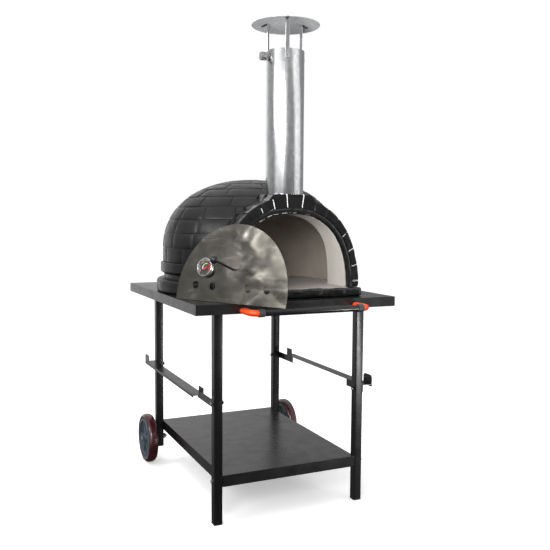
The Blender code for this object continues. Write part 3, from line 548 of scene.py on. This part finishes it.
def dome_profile(inset, steps=40):
    """(radius, z) from the spring line to the crown, inset from the painted surface."""
    made = []
    for i in range(steps + 1):
        angle = math.pi / 2 * (i / steps) ** 0.85  # the points draw together towards the crown
        radius = (DOME_RADIUS - inset) * max(0.0, math.cos(angle)) ** (2 / DOME_POWER)
        z = SPRING + (DOME_RISE - inset) * math.sin(angle) ** (2 / DOME_POWER)
        made.append((radius if i < steps else 0.0, z))
    return made


def arch_radius(shape, angle):
    """Distance from the middle of the hearth line to an arch, at an angle from +X."""
    half, height, power = shape
    across, up = abs(math.cos(angle)) / half, abs(math.sin(angle)) / height
    return (across**power + up**power) ** (-1 / power)


def arch_spot(angle, reach, y):
    """The place at this angle and distance from the middle of the hearth line."""
    return Vector((reach * math.cos(angle), y, HEARTH_TOP + reach * math.sin(angle)))


def arch_point(shape, angle, grow=0.0):
    reach = arch_radius(shape, angle) + grow
    return (reach * math.cos(angle), HEARTH_TOP + reach * math.sin(angle))


def hood_radius(angle):
    """As arch_radius, for the hood with its flat-topped keystone and the keystone's leaning sides."""
    across, up = abs(math.cos(angle)), math.sin(angle)
    arch = arch_radius(HOOD_ARCH, angle)
    if across > up:
        return arch
    rise = KEY_TOP - HEARTH_TOP
    lean = (KEY_FOOT - KEY_HEAD) / (rise - KEY_SHOULDER)
    side = (KEY_HEAD + lean * rise) / (across + lean * up)
    return max(arch, min(rise / up, side))


def hood_outline(grow, foot_z, steps=72):
    points = []
    for i in range(steps + 1):
        angle = math.pi * i / steps
        reach = hood_radius(angle) + grow
        points.append((reach * math.cos(angle), max(foot_z, HEARTH_TOP + reach * math.sin(angle))))
    if foot_z >= HEARTH_TOP:
        return points
    return [(points[0][0], foot_z)] + points + [(points[-1][0], foot_z)]


def arch_outline(shape, grow, foot_z, steps=72):
    points = [arch_point(shape, math.pi * i / steps, grow) for i in range(steps + 1)]
    return [(points[0][0], foot_z)] + points + [(points[-1][0], foot_z)]


COURSES, COURSE_HEIGHT, BRICK_LENGTH, JOINT = 9, 0.0535, 0.118, 0.0034
BRICK_RELIEF = 0.0018
BRICK_SUNK = BRICK_RELIEF * 0.8  # how far the ground between the bricks lies inside the modelled dome
# distance from a brick's edge and its height there, from a closed slab's hidden foot to its face
SOFT_EDGE = ((0.0, -0.004), (0.0002, 0.0003), (0.0008, 0.0013), (0.0020, BRICK_RELIEF))
RENDER = 0.012  # thickness of the painted shell
FLUE_HOLE = 0.060  # radius of the way through the shell and its bricks
AT_DOME, AT_FLUE = at(0, DOME_Y, 0), at(0, FLUE_Y, 0)


def dome_shell():
    """The painted render under the bricks, its neck and its flange, open for the hood."""
    foot = BASE_TOP - 0.001
    outside = rounded(
        [
            (NECK_RADIUS, foot, 0),
            (NECK_RADIUS, NECK_TOP - 0.002),
            (FLANGE_RADIUS, NECK_TOP + 0.003),
            (FLANGE_RADIUS, FLANGE_TOP),
            (DOME_RADIUS - BRICK_SUNK, FLANGE_TOP + 0.001, 0.001),
            (DOME_RADIUS - BRICK_SUNK, SPRING, 0),
        ],
        0.005,
    )
    # rounded() closes its outline, so the corner at each end is left sharp
    inside = dome_profile(RENDER, 24)[::-1] + [(DOME_RADIUS - RENDER, foot)]
    crown = dome_profile(BRICK_SUNK, 48)[1:]
    bm = moved(lathe(outside + crown + inside, 144), AT_DOME)
    shell = piece("dome_shell", roughen(bm, 0.0016, 14), PAINT, ("outer_dome",))
    open_front(shell)


def open_front(obj):
    """Leave out what the hood covers, but for a 4 mm lap under it, and the way into the flue."""
    room = prism(hood_outline(-0.004, CUT_LOW), TABLE_FRONT, CUT_BACK, along_y)
    cut_away(obj, room, flue_cylinder(FLUE_HOLE))


def flue_cylinder(radius):
    foot, top = FLUE_CUT
    return moved(lathe([(0, foot), (radius, foot), (radius, top), (0, top)], 48), AT_FLUE)


def profile_walk():
    """Turns the dome's outline into a function from the distance up it to a point and its slope."""
    line = [(DOME_RADIUS, FLANGE_TOP)] + dome_profile(0, 160)
    lengths = [0.0]
    for a, b in zip(line, line[1:]):
        lengths.append(lengths[-1] + math.dist(a, b))

    def walk(s):
        for i in range(1, len(line)):
            if s <= lengths[i] or i == len(line) - 1:
                share = (s - lengths[i - 1]) / (lengths[i] - lengths[i - 1])
                a, b = Vector(line[i - 1]), Vector(line[i])
                point = a.lerp(b, min(1.0, share))
                along = (b - a).normalized()
                return point, Vector((along.y, -along.x))

    return walk, lengths[-1]


def dome_bricks():
    """Courses of slightly uneven bricks in relief, in running bond, each a closed slab with a soft edge."""
    walk, length = profile_walk()
    rng = random.Random(11)
    bm = bmesh.new()
    for course in range(COURSES):
        start = course * COURSE_HEIGHT + JOINT / 2
        end = (course + 1) * COURSE_HEIGHT - JOINT / 2
        radius = walk((start + end) / 2)[0].x
        count = max(5, round(2 * math.pi * radius / BRICK_LENGTH))
        offset = rng.random() if course > 5 else 0.5 * (course % 2)
        for k in range(count):
            first = 2 * math.pi * (k + offset) / count
            one_brick(bm, walk, rng, start, end, first, first + 2 * math.pi / count)
    cap_start = COURSES * COURSE_HEIGHT + JOINT / 2
    crown_cap(bm, walk, cap_start, length)
    open_front(piece("dome_bricks", moved(bm, AT_DOME), PAINT))


def one_brick(bm, walk, rng, start, end, first, last):
    """One brick of the dome, a little proud or sunken and a little askew."""
    lift = rng.uniform(-0.0005, 0.0004)
    tilt = rng.uniform(-0.0004, 0.0004)
    middle_radius = walk((start + end) / 2)[0].x
    half_joint = JOINT / 2 / middle_radius
    first, last = first + half_joint, last - half_joint
    width, height = (last - first) * middle_radius, end - start
    seed = rng.random() * 50
    grid = []
    for v, v_height in edge_steps(height, 4):
        line = []
        for u, u_height in edge_steps(width, 7):
            wobble = 0.0012 * noise.noise(Vector((u * 30, v * 30, seed)))
            point, out = walk(start + v + wobble)
            level = min(u_height, v_height)
            rise = level if level < 0 else level + lift + tilt * (u / width - 0.5)
            if rise > 0:
                rise += 0.0008 * noise.noise(Vector((u * 45, v * 45, seed + 9)))
            angle = first + (u + wobble) / middle_radius
            r = point.x + out.x * (rise - BRICK_SUNK)
            z = point.y + out.y * (rise - BRICK_SUNK)
            line.append(bm.verts.new((r * math.cos(angle), r * math.sin(angle), z)))
        grid.append(line)
    close_grid(bm, grid)


def edge_steps(size, inner):
    """(position, height) pairs across a brick: its soft edge, its flat middle and its other edge."""
    reach, height = SOFT_EDGE[-1]
    flat = [(reach + (size - 2 * reach) * i / inner, height) for i in range(1, inner)]
    return [*SOFT_EDGE, *flat, *((size - d, h) for d, h in reversed(SOFT_EDGE))]


def close_grid(bm, grid):
    """The faces of a brick's front, and a fan behind that closes it."""
    rows, columns = len(grid), len(grid[0])
    for i in range(rows - 1):
        for j in range(columns - 1):
            bm.faces.new((grid[i][j], grid[i][j + 1], grid[i + 1][j + 1], grid[i + 1][j]))
    far_side = [row[-1] for row in grid[1:]]
    top = grid[-1][-2::-1]
    near_side = [row[0] for row in grid[-2:0:-1]]
    border = grid[0] + far_side + top + near_side
    hub = bm.verts.new(sum((v.co for v in border), Vector()) / len(border))
    for a, b in zip(border, border[1:] + border[:1]):
        bm.faces.new((b, a, hub))


def crown_cap(bm, walk, start, length):
    """The round brick at the very top."""
    profile = []
    for distance, height in edge_steps(2 * (length - start), 12):
        if distance > length - start:
            break
        point, out = walk(start + distance)
        lifted = point + out * (height - BRICK_SUNK)
        profile.append((lifted.x, lifted.y))
    profile = profile[:-1] + [(0, DOME_APEX)]
    join_into(bm, lathe([(0, profile[0][1])] + profile, 48))


def oven_base():
    """The cast ring under the dome, rounded over by hand, with room for the hearth's lip."""
    inside, lap = DOME_RADIUS - DOME_WALL + 0.0004, 0.002
    section = [(inside, BASE_LOW, 0), (BASE_RADIUS, BASE_LOW), (BASE_RADIUS, BASE_TOP), (inside, BASE_TOP, 0)]
    bm = moved(roughen(lathe(rounded(section, 0.012, 6), 144), 0.0012, 18), AT_DOME)
    ring = piece("oven_base_ring", bm, PAINT, ("oven_base",))
    a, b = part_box("hearth_lip")
    left, right, foot, top = a.x + lap, b.x - lap, BASE_LOW - 0.1, 1
    outline = [(left, foot), (right, foot), (right, top), (left, top)]
    cut_away(ring, prism(outline, TABLE_FRONT, b.y - lap, along_y))


def cavity_solid(grow=0.0):
    """The hollow of the oven, as a solid to cut with."""
    inset = DOME_WALL + REFRACTORY - grow
    foot = [(0, CUT_LOW), (DOME_RADIUS - inset, CUT_LOW)]
    return moved(lathe(foot + dome_profile(inset), 96), AT_DOME)


def refractory_dome():
    """The inner dome and the tunnel of the mouth."""
    outer, inner = dome_profile(DOME_WALL), dome_profile(DOME_WALL + REFRACTORY)
    foot = [(inner[0][0], HEARTH_TOP), (outer[0][0], HEARTH_TOP)]
    bm = moved(lathe(foot + outer + inner[-2::-1], 112), AT_DOME)
    dome = piece("refractory_dome", roughen(bm, 0.0015, 12), CAVITY, ("inner_dome",))
    tunnel = prism(arch_outline(LINER_ARCH, 0.0004, CUT_LOW), TABLE_FRONT, CUT_BACK, along_y)
    cut_away(dome, tunnel, flue_cylinder(THROAT_RADIUS))

    bm = arch_band(LINER_ARCH, MOUTH_ARCH, LINER_FRONT - 0.001, LINER_BACK)
    liner = piece("mouth_tunnel", bm, CREAM, ("mouth_liner",))
    cut_away(liner, cavity_solid(), flue_cylinder(THROAT_RADIUS))


def arch_band(outer, inner, start, end, steps=72):
    """The solid between two arches."""
    turns = [math.pi * i / steps for i in range(steps + 1)]
    outline = [arch_point(outer, a) for a in turns] + [arch_point(inner, a) for a in reversed(turns)]
    return prism([(x, max(z, ARCH_FOOT)) for x, z in outline], start, end, along_y)


# The hood


# where the joints between the bricks of the front ring stand, in degrees from +X
RING_JOINTS = (0.2, 4.7, 17.3, 29.5, 42, 53, 63, 73, 82.3, 93.7, 103.5, 113, 123, 133, 144, 156, 168, 179.8)
PALE_JOINTS = (4.7, 17.3, 29.5, 42, 82.3, 93.7, 103.5, 113)
HALF_POINTED = (42, 113)  # joints whose pale pointing covers only the inner part of the joint
KEY_JOINTS = (73, 103.5)  # the ends of the keystone group
ROW_DEPTH, HOOD_ROWS, HOOD_SKIN = 0.055, 3, 0.014
HOOD_JOINT = 0.0030
CORE_SUNK = 0.0035  # how far the core lies under the bricks
# the pointing's section: share of its half width, and depth behind the hood's front
POINTING = ((-1, 0.0016), (-0.4, 0.0006), (0.4, 0.0006), (1, 0.0016), (1, 0.008), (-1, 0.008))


def hood():
    """A brick ring in front, rows of bricks behind it in running bond, and a dark core between the joints."""
    outline = hood_outline(-CORE_SUNK, ARCH_FOOT)
    bm = prism(outline, HOOD_FRONT + 0.0025, DOME_Y - 0.167, along_y)
    core = piece("hood_core", bm, GLAZE, ("front_arch",))
    tunnel = prism(arch_outline(LINER_ARCH, 0.0002, CUT_LOW), TABLE_FRONT, DOME_Y, along_y)
    cut_away(core, tunnel, cavity_solid(0.010), flue_cylinder(THROAT_RADIUS))

    rng = random.Random(5)
    bm = bmesh.new()
    for first, last in zip(RING_JOINTS, RING_JOINTS[1:]):
        reach = hood_radius if KEY_JOINTS[0] <= first < KEY_JOINTS[1] else plain_hood_radius
        hood_brick(bm, rng, first, last, HOOD_FRONT, HOOD_FRONT + ROW_DEPTH - 0.002, False, reach)
    for row in range(1, HOOD_ROWS):
        share = 0.5 * (row % 2)
        joints = [a + (b - a) * share for a, b in zip(RING_JOINTS[1:-1], RING_JOINTS[2:])]
        joints = [RING_JOINTS[0], *joints, RING_JOINTS[-1]]
        start = HOOD_FRONT + row * ROW_DEPTH
        for first, last in zip(joints, joints[1:]):
            hood_brick(bm, rng, first, last, start + 0.001, start + ROW_DEPTH - 0.002, True, hood_radius)
    cut_away(piece("hood_bricks", bm, GLAZE), flue_cylinder(THROAT_RADIUS))
    hood_mortar()


def plain_hood_radius(angle):
    return arch_radius(HOOD_ARCH, angle)


def up_side(column, shares):
    """Points on the side of a brick, at these shares of its height."""
    angle, inner, outer = column
    return [(angle, inner + (outer - inner) * share) for share in shares]


def hood_brick(bm, rng, first, last, start, end, thin, reach_at):
    """One brick between two joints, rounded and a little lumpy; slivers are left out."""
    if last - first < 1.0:
        return
    brick = bmesh.new()
    steps_round, steps_deep = 6, 5
    lift = rng.uniform(-0.0012, 0.0008)
    front_shift = rng.uniform(-0.0008, 0.0006)
    seed = rng.random() * 90
    turns = [first + (last - first) * i / steps_round for i in range(steps_round + 1)]
    corner = math.degrees(math.atan2(KEY_TOP - HEARTH_TOP, KEY_HEAD))
    shoulder = math.degrees(math.atan2(KEY_SHOULDER, KEY_FOOT))
    for turn in (corner, 180 - corner, shoulder, 180 - shoulder):
        # the keystone's corners stay crisp where they fall inside a brick
        if first < turn < last:
            nearest = min(turns[1:-1], key=lambda t: abs(t - turn))
            turns[turns.index(nearest)] = turn
    columns = []
    for i, turn in enumerate(turns):
        angle = math.radians(turn)
        outer = reach_at(angle) + lift
        inner = outer - HOOD_SKIN if thin else arch_radius(TRIM_ARCH, angle) + 0.0006
        angle += HOOD_JOINT / 2 / outer * (1 - 2 * i / steps_round)
        columns.append((angle, inner, outer))
    section = [(angle, outer) for angle, inner, outer in columns]
    section += up_side(columns[-1], (0.67, 0.33))
    section += [(angle, inner) for angle, inner, outer in reversed(columns)]
    section += up_side(columns[0], (0.33, 0.67))
    depths = [start + front_shift + (end - start) * j / steps_deep for j in range(steps_deep + 1)]
    skin(brick, [[brick.verts.new(arch_spot(*spot, y)) for spot in section] for y in depths])
    brick.normal_update()
    sharp = [e for e in brick.edges if len(e.link_faces) == 2 and e.calc_face_angle() > math.radians(40)]
    rounding = {"offset": 0.0026, "segments": 3, "profile": 0.6}
    bmesh.ops.bevel(brick, geom=sharp, affect="EDGES", clamp_overlap=True, **rounding)
    caps = [f for f in brick.faces if len(f.verts) > 8]
    bmesh.ops.inset_region(brick, faces=caps, thickness=0.004)
    brick.normal_update()
    for vert in brick.verts:
        spot = vert.co * 40 + Vector((seed, 0, seed))
        vert.co += vert.normal * 0.0014 * noise.noise(spot)
        vert.co.z = max(vert.co.z, ARCH_FOOT)
    join_into(bm, brick)


def hood_mortar():
    """White pointing, only in some joints of the front ring."""
    bm = bmesh.new()
    rng = random.Random(3)
    steps = 8
    for angle in PALE_JOINTS:
        turn = math.radians(angle)
        reach = hood_radius if KEY_JOINTS[0] < angle < KEY_JOINTS[1] else plain_hood_radius
        inner, outer = arch_radius(TRIM_ARCH, turn) + 0.003, reach(turn) - 0.0012
        if angle in HALF_POINTED:
            outer = inner + 0.6 * (outer - inner)
        along = Vector((math.cos(turn), 0, math.sin(turn)))
        across = Vector((-math.sin(turn), 0, math.cos(turn)))
        rings = []
        for i in range(steps + 1):
            r = inner + (outer - inner) * i / steps
            half = 0.0015 + rng.uniform(-0.0003, 0.0003)
            ring = []
            for side, y in POINTING:
                spot = along * r + across * half * side + Vector((0, HOOD_FRONT + y, HEARTH_TOP))
                spot.z = max(spot.z, ARCH_FOOT)
                ring.append(bm.verts.new(spot))
            rings.append(ring)
        skin(bm, rings)
    piece("hood_pointing", bm, MORTAR)


def mouth_trim():
    """The rounded black bricks that edge the mouth: one lumpy ring."""
    bm = bmesh.new()
    start, end = low("mouth_trim").y, high("mouth_trim").y
    steps = 168
    rings = []
    for i in range(steps + 1):
        angle = math.pi * i / steps
        inner, outer = arch_radius(MOUTH_ARCH, angle), arch_radius(TRIM_ARCH, angle) - 0.0003
        section = rounded([(inner, end), (outer, end), (outer, start), (inner, start)], 0.0075, 3)
        lumps = 0.0016 * noise.noise(Vector((angle * 9, 0, 0)))
        ring = []
        for r, y in section:
            spot = arch_spot(angle, r, y)
            wave = 0.0016 * noise.noise(spot * 38) + 0.0008 * noise.noise(spot * 110)
            towards = Vector((math.cos(angle), 0, math.sin(angle)))
            spot += towards * (lumps + wave) * 0.6 + Vector((0, wave, 0))
            spot.z = max(spot.z, ARCH_FOOT)
            ring.append(bm.verts.new(spot))
        rings.append(ring)
    skin(bm, rings)
    piece("mouth_edge", bm, GLAZE, ("mouth_trim",))


def hearth():
    """The cast lip in front, lumpy with thick paint, and the tiles behind it."""
    lip = refined("hearth_lip", GLAZE, width=0)
    voxel_remesh(lip, 0.0032)
    bm = bmesh.new()
    bm.from_mesh(lip.data)
    axes = {f"use_axis_{axis}": True for axis in "xyz"}
    for _ in range(3):
        bmesh.ops.smooth_vert(bm, verts=bm.verts, factor=0.5, **axes)
    bm.normal_update()
    for vert in bm.verts:
        if vert.co.z > BASE_LOW + 0.004:  # its underside stays flat on the tabletop
            wave = 0.0022 * noise.noise(vert.co * 17) + 0.0012 * noise.noise(vert.co * 55)
            vert.co += vert.normal * wave
    bm.to_mesh(lip.data)
    bm.free()
    for name in ("front", "left", "right"):
        refined(f"hearth_tile_{name}", TILES, width=0.0012)
    paint("floor_insulation", FIBRE)
    paint("insulation_blanket", FIBRE)


def voxel_remesh(obj, voxel):
    """Rebuild an object's surface from small cubes, so that it can be smoothed and made lumpy."""
    modifier = obj.modifiers.new("remesh", "REMESH")
    modifier.mode = "VOXEL"
    modifier.voxel_size = voxel
    mesh = applied(obj)
    obj.modifiers.remove(modifier)
    obj.data = mesh
    mesh.shade_smooth()


# The chimney


SHEET_METAL = 0.0012  # thickness of the pipe and of the cap


def chimney():
    """The flue pipe with its lock seam, and the rain cap on three riveted strips."""
    inside, foot = FLUE_RADIUS - SHEET_METAL, KEY_TOP - 0.0015
    section = [(inside, foot), (FLUE_RADIUS, foot), (FLUE_RADIUS, FLUE_TOP), (inside, FLUE_TOP)]
    bm = moved(lathe(rounded(section, 0.0004, 2), 128), AT_FLUE)
    fold = rounded([(-0.004, 0), (0.004, 0), (0.004, SHEET_METAL), (-0.004, SHEET_METAL)], 0.0006)
    seam = prism(fold, foot + 0.001, FLUE_TOP - 0.001, along_z)
    join_into(bm, moved(seam, at(0, FLUE_RADIUS - 0.0002, 0), AT_FLUE))
    piece("flue_tube", bm, PIPE, ("flue_pipe",))
    rain_cap()


def rain_cap():
    rim, apex, radius = low("rain_cap").z, high("rain_cap").z, high("rain_cap").x
    slope = (apex - rim) / radius
    hem = 0.004  # width of the fold that stiffens the rim
    profile = [
        (0, apex),
        (0.010, apex - slope * 0.010 - 0.0002),
        (radius - hem, rim + slope * hem),
        (radius - 0.0006, rim + 0.0012),
        (radius, rim + 0.0004),
        (radius - 0.0006, rim - 0.0004),
        (radius - hem, rim + slope * hem - 0.0016),
        (radius - hem - 0.0002, rim + slope * hem - 0.0010),
        (0, apex - SHEET_METAL),
    ]
    piece("cap_cone", moved(lathe(profile, 128), AT_FLUE), CAP, ("rain_cap",))

    heads = bmesh.new()
    axis = Vector((0, FLUE_Y, 0))
    strip_face, strip_end = 0.0024, 0.0030  # outer face on the pipe, and lower face under the cone
    for i, turn in enumerate((-110, 10, 130), 1):
        refined(f"cap_strip_{i}", PIPE, width=0.0005)
        angle = math.radians(turn)
        out = Vector((math.cos(angle), math.sin(angle), 0))
        height = Vector((0, 0, low(f"cap_strip_{i}").z + 0.008))
        rivet(heads, axis + out * (FLUE_RADIUS + strip_face) + height, out, 0.0028)
        down = Vector((-out.x * slope, -out.y * slope, -1)).normalized()
        for reach in (0.074, 0.085):
            over = apex - slope * reach
            under = over - SHEET_METAL - strip_end
            rivet(heads, Vector((0, FLUE_Y, under)) + out * reach, down)
            rivet(heads, Vector((0, FLUE_Y, over)) + out * reach, -down)
    piece("cap_rivets", heads, bright_metal("rivet_metal", 0.30, 0.4))


def damper():
    """The rod, its ribbed knob and the plate inside the pipe."""
    refined("damper_rod", ZINC, "damper", 0.0004)
    refined("damper_plate", PIPE, "damper", 0.0004)
    refined("damper_washer", ZINC, "cart", 0.0004)
    a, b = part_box("damper_knob")
    radius, length = (b.z - a.z) / 2, b.x - a.x
    ribs = 28
    steps = ribs * 4
    outline = []
    for i in range(steps):
        turn = 2 * math.pi * i / steps
        r = radius - 0.0005 * (1 + math.cos(ribs * turn))
        outline.append((r * math.cos(turn), r * math.sin(turn)))
    bm = prism(outline, -length / 2, length / 2, along_z)
    knob = moved(bm, TO_X, Matrix.Translation((a + b) / 2))
    bevelled(piece("damper_grip", knob, ZINC, ("damper_knob",), "damper"), 0.0012, 3, 50)


# The door


def door():
    refined("door_panel", SHEET, "door", 0.0009)
    refined("door_handle_rod", BLACK_ROD, "door", 0.0004)
    refined("door_knob", BLACK_PLASTIC, "door", 0)
    refined("thermometer_case", CHROME, "door", 0.0005)
    paint("thermometer_dial", DIAL)
    paint("thermometer_needle", RED_PRINT)
    paint("thermometer_glass", GLASS)
    dial_print()


DIAL_FACE = 0.0026 + 0.0010 + 0.00004  # from the panel to just over the dial
PRINT = 0.00006  # thickness of the print, which stays under the needle
DIAL_SWEEP = 120  # degrees from the top of the dial to each end of its scale
TICK_END = 0.0245


def dial_print():
    """Coloured bands and tick marks on the dial: no lettering."""
    needle = next(j for j in frame["joints"] if j["name"] == "needle_turn")
    out = -Vector(needle["axis"])
    up = (Vector((0, 0, 1)) - out * out.z).normalized()
    basis = Matrix((up.cross(out), up, out)).transposed().to_4x4()
    place = Matrix.Translation(Vector(needle["pos_m"]) + out * DIAL_FACE) @ basis

    def band(name, material, start, end, inner=0.0125, outer=0.0158, steps=20):
        bm = bmesh.new()
        rings = []
        for i in range(steps + 1):
            turn = math.radians(90 + start + (end - start) * i / steps)
            section = ((inner, 0), (outer, 0), (outer, PRINT), (inner, PRINT))
            rings.append([bm.verts.new((r * math.cos(turn), r * math.sin(turn), z)) for r, z in section])
        skin(bm, rings)
        piece(name, bm, material, (), "door", place)

    band("dial_band_cool", WHITE_PRINT, DIAL_SWEEP, 55)
    band("dial_band_warm", YELLOW_PRINT, 53, -20)
    band("dial_band_hot", RED_PRINT, -22, -DIAL_SWEEP)
    band("dial_ring", WHITE_PRINT, DIAL_SWEEP, -DIAL_SWEEP, 0.0246, 0.0256)
    ticks = bmesh.new()
    count = 25
    for i in range(count):
        turn = math.radians(90 + DIAL_SWEEP - 2 * DIAL_SWEEP / (count - 1) * i)
        inner, half = (0.0205, 0.0004) if i % 4 == 0 else (0.0222, 0.00022)
        along = Vector((math.cos(turn), math.sin(turn)))
        across = Vector((-along.y, along.x)) * half
        foot, tip = along * inner, along * TICK_END
        corners = [foot - across, tip - across, tip + across, foot + across]
        join_into(ticks, prism(corners, 0, PRINT, along_z))
    piece("dial_ticks", ticks, WHITE_PRINT, (), "door", place)


# The cart


def cart():
    for node in ("tabletop", "lower_shelf", "side_rail_left", "side_rail_right"):
        refined(node, STEEL, width=0.0009)
    for side in SIDES:
        for end in ENDS:
            refined(f"leg_{end}_{side}", STEEL)
            refined(f"shelf_bolt_{end}_{side}", ZINC)
            refined(f"rail_bolt_{end}_{side}", ZINC)
        refined(f"foot_front_{side}", BLACK_PLASTIC, width=0.0012)
        refined(f"axle_bolt_{side}", ZINC, width=0.0008)
        refined(f"axle_nut_{side}", ZINC, width=0.0008)
        refined(f"push_bar_collar_{side}", GREY_PLASTIC, width=0.0008)
        bracket = refined(f"push_bar_bracket_{side}", ORANGE, width=0.0016)
        bracket.modifiers["rounded"].segments = 3
    push_bar()
    wheels()


def push_bar():
    a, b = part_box("push_bar")
    radius, half = (b.z - a.z) / 2, (b.x - a.x) / 2
    inside = radius - 0.002
    section = [(inside, -half), (radius, -half), (radius, half), (inside, half)]
    bm = moved(lathe(rounded(section, 0.0006), 64), TO_X, Matrix.Translation((a + b) / 2))
    piece("push_bar_tube", bm, BLACK_ROD, ("push_bar",))


def wheels():
    """Crowned treads with rounded shoulders, on their hubs."""
    inner = 0.0803  # just clear of the hub's rim
    for side in SIDES:
        a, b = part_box(f"wheel_tread_{side}")
        centre, half = (a + b) / 2, (b.x - a.x) / 2
        radius = (b.z - a.z) / 2
        profile = rounded(
            [
                (inner, -half + 0.002, 0.001),
                (radius - 0.008, -half, 0.004),
                (radius - 0.001, -half + 0.009, 0.008),
                (radius, 0, 0.01),
                (radius - 0.001, half - 0.009, 0.008),
                (radius - 0.008, half, 0.004),
                (inner, half - 0.002, 0.001),
            ],
            0.002,
            5,
        )
        bm = moved(lathe(profile, 128), TO_X, Matrix.Translation(centre))
        piece(f"wheel_tyre_{side}", bm, TREAD, (f"wheel_tread_{side}",), f"wheel_{side}")
        refined(f"wheel_hub_{side}", HUB, f"wheel_{side}", 0.0009)


dome_shell()
dome_bricks()
oven_base()
refractory_dome()
hood()
mouth_trim()
hearth()
chimney()
damper()
door()
cart()


# Floor, light and camera


def studio():
    mesh = bpy.data.meshes.new("floor")
    bm = bmesh.new()
    bmesh.ops.create_grid(bm, x_segments=1, y_segments=1, size=30)
    bm.to_mesh(mesh)
    bm.free()
    floor = bpy.data.objects.new("floor", mesh)
    bpy.context.scene.collection.objects.link(floor)
    pale = Surface("pale_floor", (0.93, 0.93, 0.93), 0.7, Emission_Strength=0.36)
    pale.colour(pale.blend(pale.noise(0.8, 3), (0.92, 0.92, 0.92), (0.95, 0.95, 0.95)))
    mesh.materials.append(pale.material)
    floor.location.z = -0.0005  # just clear of the feet and wheels
    # polished and painted faces mirror the room instead of the bright floor
    floor.visible_glossy = False
    floor.visible_diffuse = False


OVERHEAD_LIGHT = 0.85
UNDER_LIGHT = 0.06
# the heights, as a direction's Z, between which the walls fade into the ceiling and the floor
CEILING_FADE = (0.35, 0.9)
FLOOR_FADE = (-0.05, -0.4)
# (degrees round from -Y, towards +X when positive; brightness)
AZIMUTH_LIGHT = (
    (-180, 1.25),
    (-165, 0.95),
    (-150, 0.55),
    (-122, 0.38),
    (-91, 0.34),
    (-77, 1.25),
    (-42, 1.35),
    (-33, 1.2),
    (-22, 0.36),
    (33, 0.28),
    (45, 1.3),
    (74, 1.2),
    (90, 0.3),
    (142, 0.3),
    (154, 0.32),
    (164, 0.75),
)
# how far the pattern leans round with height, in degrees for each unit of the direction's Z over LEAN_FROM
LEAN_OF_LIGHT, LEAN_FROM = 58.0, 0.14


def world():
    """A white room, dimmer on the camera's side, with soft bright panels that show in polished metal."""
    made = bpy.data.worlds.new("studio")
    bpy.context.scene.world = made
    made.use_nodes = True
    room = Nodes(made.node_tree)
    direction = room.add("ShaderNodeTexCoord").outputs["Generated"]
    x, y, z = room.add("ShaderNodeSeparateXYZ", {0: direction}).outputs
    # turns from 0 to 1 as the direction goes round, 0.5 towards the camera's side (-Y)
    around = room.maths("DIVIDE", room.maths("ARCTAN2", x, room.maths("MULTIPLY", y, -1.0)), 2 * math.pi)
    height = room.maths("SUBTRACT", room.maths("MAXIMUM", z, LEAN_FROM), LEAN_FROM)
    lean = room.maths("MULTIPLY", height, LEAN_OF_LIGHT / 360)
    azimuth = room.maths("FRACT", room.maths("ADD", room.maths("ADD", around, lean), 0.5))
    ramp = room.add("ShaderNodeValToRGB")
    ramp.color_ramp.interpolation = "EASE"
    while len(ramp.color_ramp.elements) < len(AZIMUTH_LIGHT):
        ramp.color_ramp.elements.new(0.5)
    for element, (degrees, level) in zip(ramp.color_ramp.elements, AZIMUTH_LIGHT):
        element.position = 0.5 + degrees / 360
        element.color = (level, level, level, 1)
    room.feed(ramp.inputs[0], azimuth)
    light = room.blend(room.spread(z, *CEILING_FADE), ramp.outputs[0], (OVERHEAD_LIGHT,) * 3)
    light = room.blend(room.spread(z, *FLOOR_FADE), light, (UNDER_LIGHT,) * 3)
    # the backdrop itself is plain white
    path = room.add("ShaderNodeLightPath")
    light = room.blend(path.outputs["Is Camera Ray"], light, (1, 1, 1))
    background = made.node_tree.nodes["Background"]
    room.feed(background.inputs["Color"], light)
    room.feed(background.inputs["Strength"], 1.0)


def lamp(name, place, target, size, power, glossy=True):
    data = bpy.data.lights.new(name, "AREA")
    data.shape = "RECTANGLE"
    data.size, data.size_y = size
    data.energy = power
    obj = bpy.data.objects.new(name, data)
    bpy.context.scene.collection.objects.link(obj)
    obj.location = place
    obj.rotation_euler = (Vector(target) - Vector(place)).to_track_quat("-Z", "Y").to_euler()
    obj.visible_camera = False
    obj.visible_glossy = glossy


def lamps():
    lamp("key_left", (-2.2, -3.0, 1.9), (0.1, 0, 0.9), (1.3, 1.3), 80)
    lamp("top", (-0.6, 0.5, 3.4), (0, 0, 0.8), (2.4, 2.4), 85, False)
    lamp("door_patch", (-2.74, -0.62, 2.17), (0, -0.5, 0.95), (1.0, 0.9), 20)
    lamp("side_strip", (-1.35, 2.3, 0.2), (-0.3, 0.1, 0.5), (1.5, 1.0), 0.4)
    lamp("front_strip", (1.03, -1.53, 0.12), (0.35, -0.42, 0.45), (0.26, 0.2), 7)
    lamp("under_cap", (-0.5, -0.7, 1.2), (0, FLUE_Y, 1.68), (0.4, 0.4), 10, False)


CAMERA_PLACE = Vector((-1.0633, TABLE_FRONT - 2.0837, 1.0108))
CAMERA_YAW, CAMERA_PITCH, CAMERA_ROLL = 24.83, 4.33, 0.41
CAMERA_LENS = 46.3


def camera():
    data = bpy.data.cameras.new("camera")
    data.lens = CAMERA_LENS
    data.sensor_width = 36
    data.clip_start, data.clip_end = 0.05, 100
    obj = bpy.data.objects.new("camera", data)
    bpy.context.scene.collection.objects.link(obj)
    yaw = Matrix.Rotation(math.radians(-CAMERA_YAW), 4, "Z")
    pitch = Matrix.Rotation(math.radians(90 - CAMERA_PITCH), 4, "X")
    roll = Matrix.Rotation(math.radians(CAMERA_ROLL), 4, "Z")
    obj.matrix_world = Matrix.Translation(CAMERA_PLACE) @ yaw @ pitch @ roll
    bpy.context.scene.camera = obj


studio()
world()
lamps()
camera()
bpy.context.scene.view_settings.view_transform = "Standard"
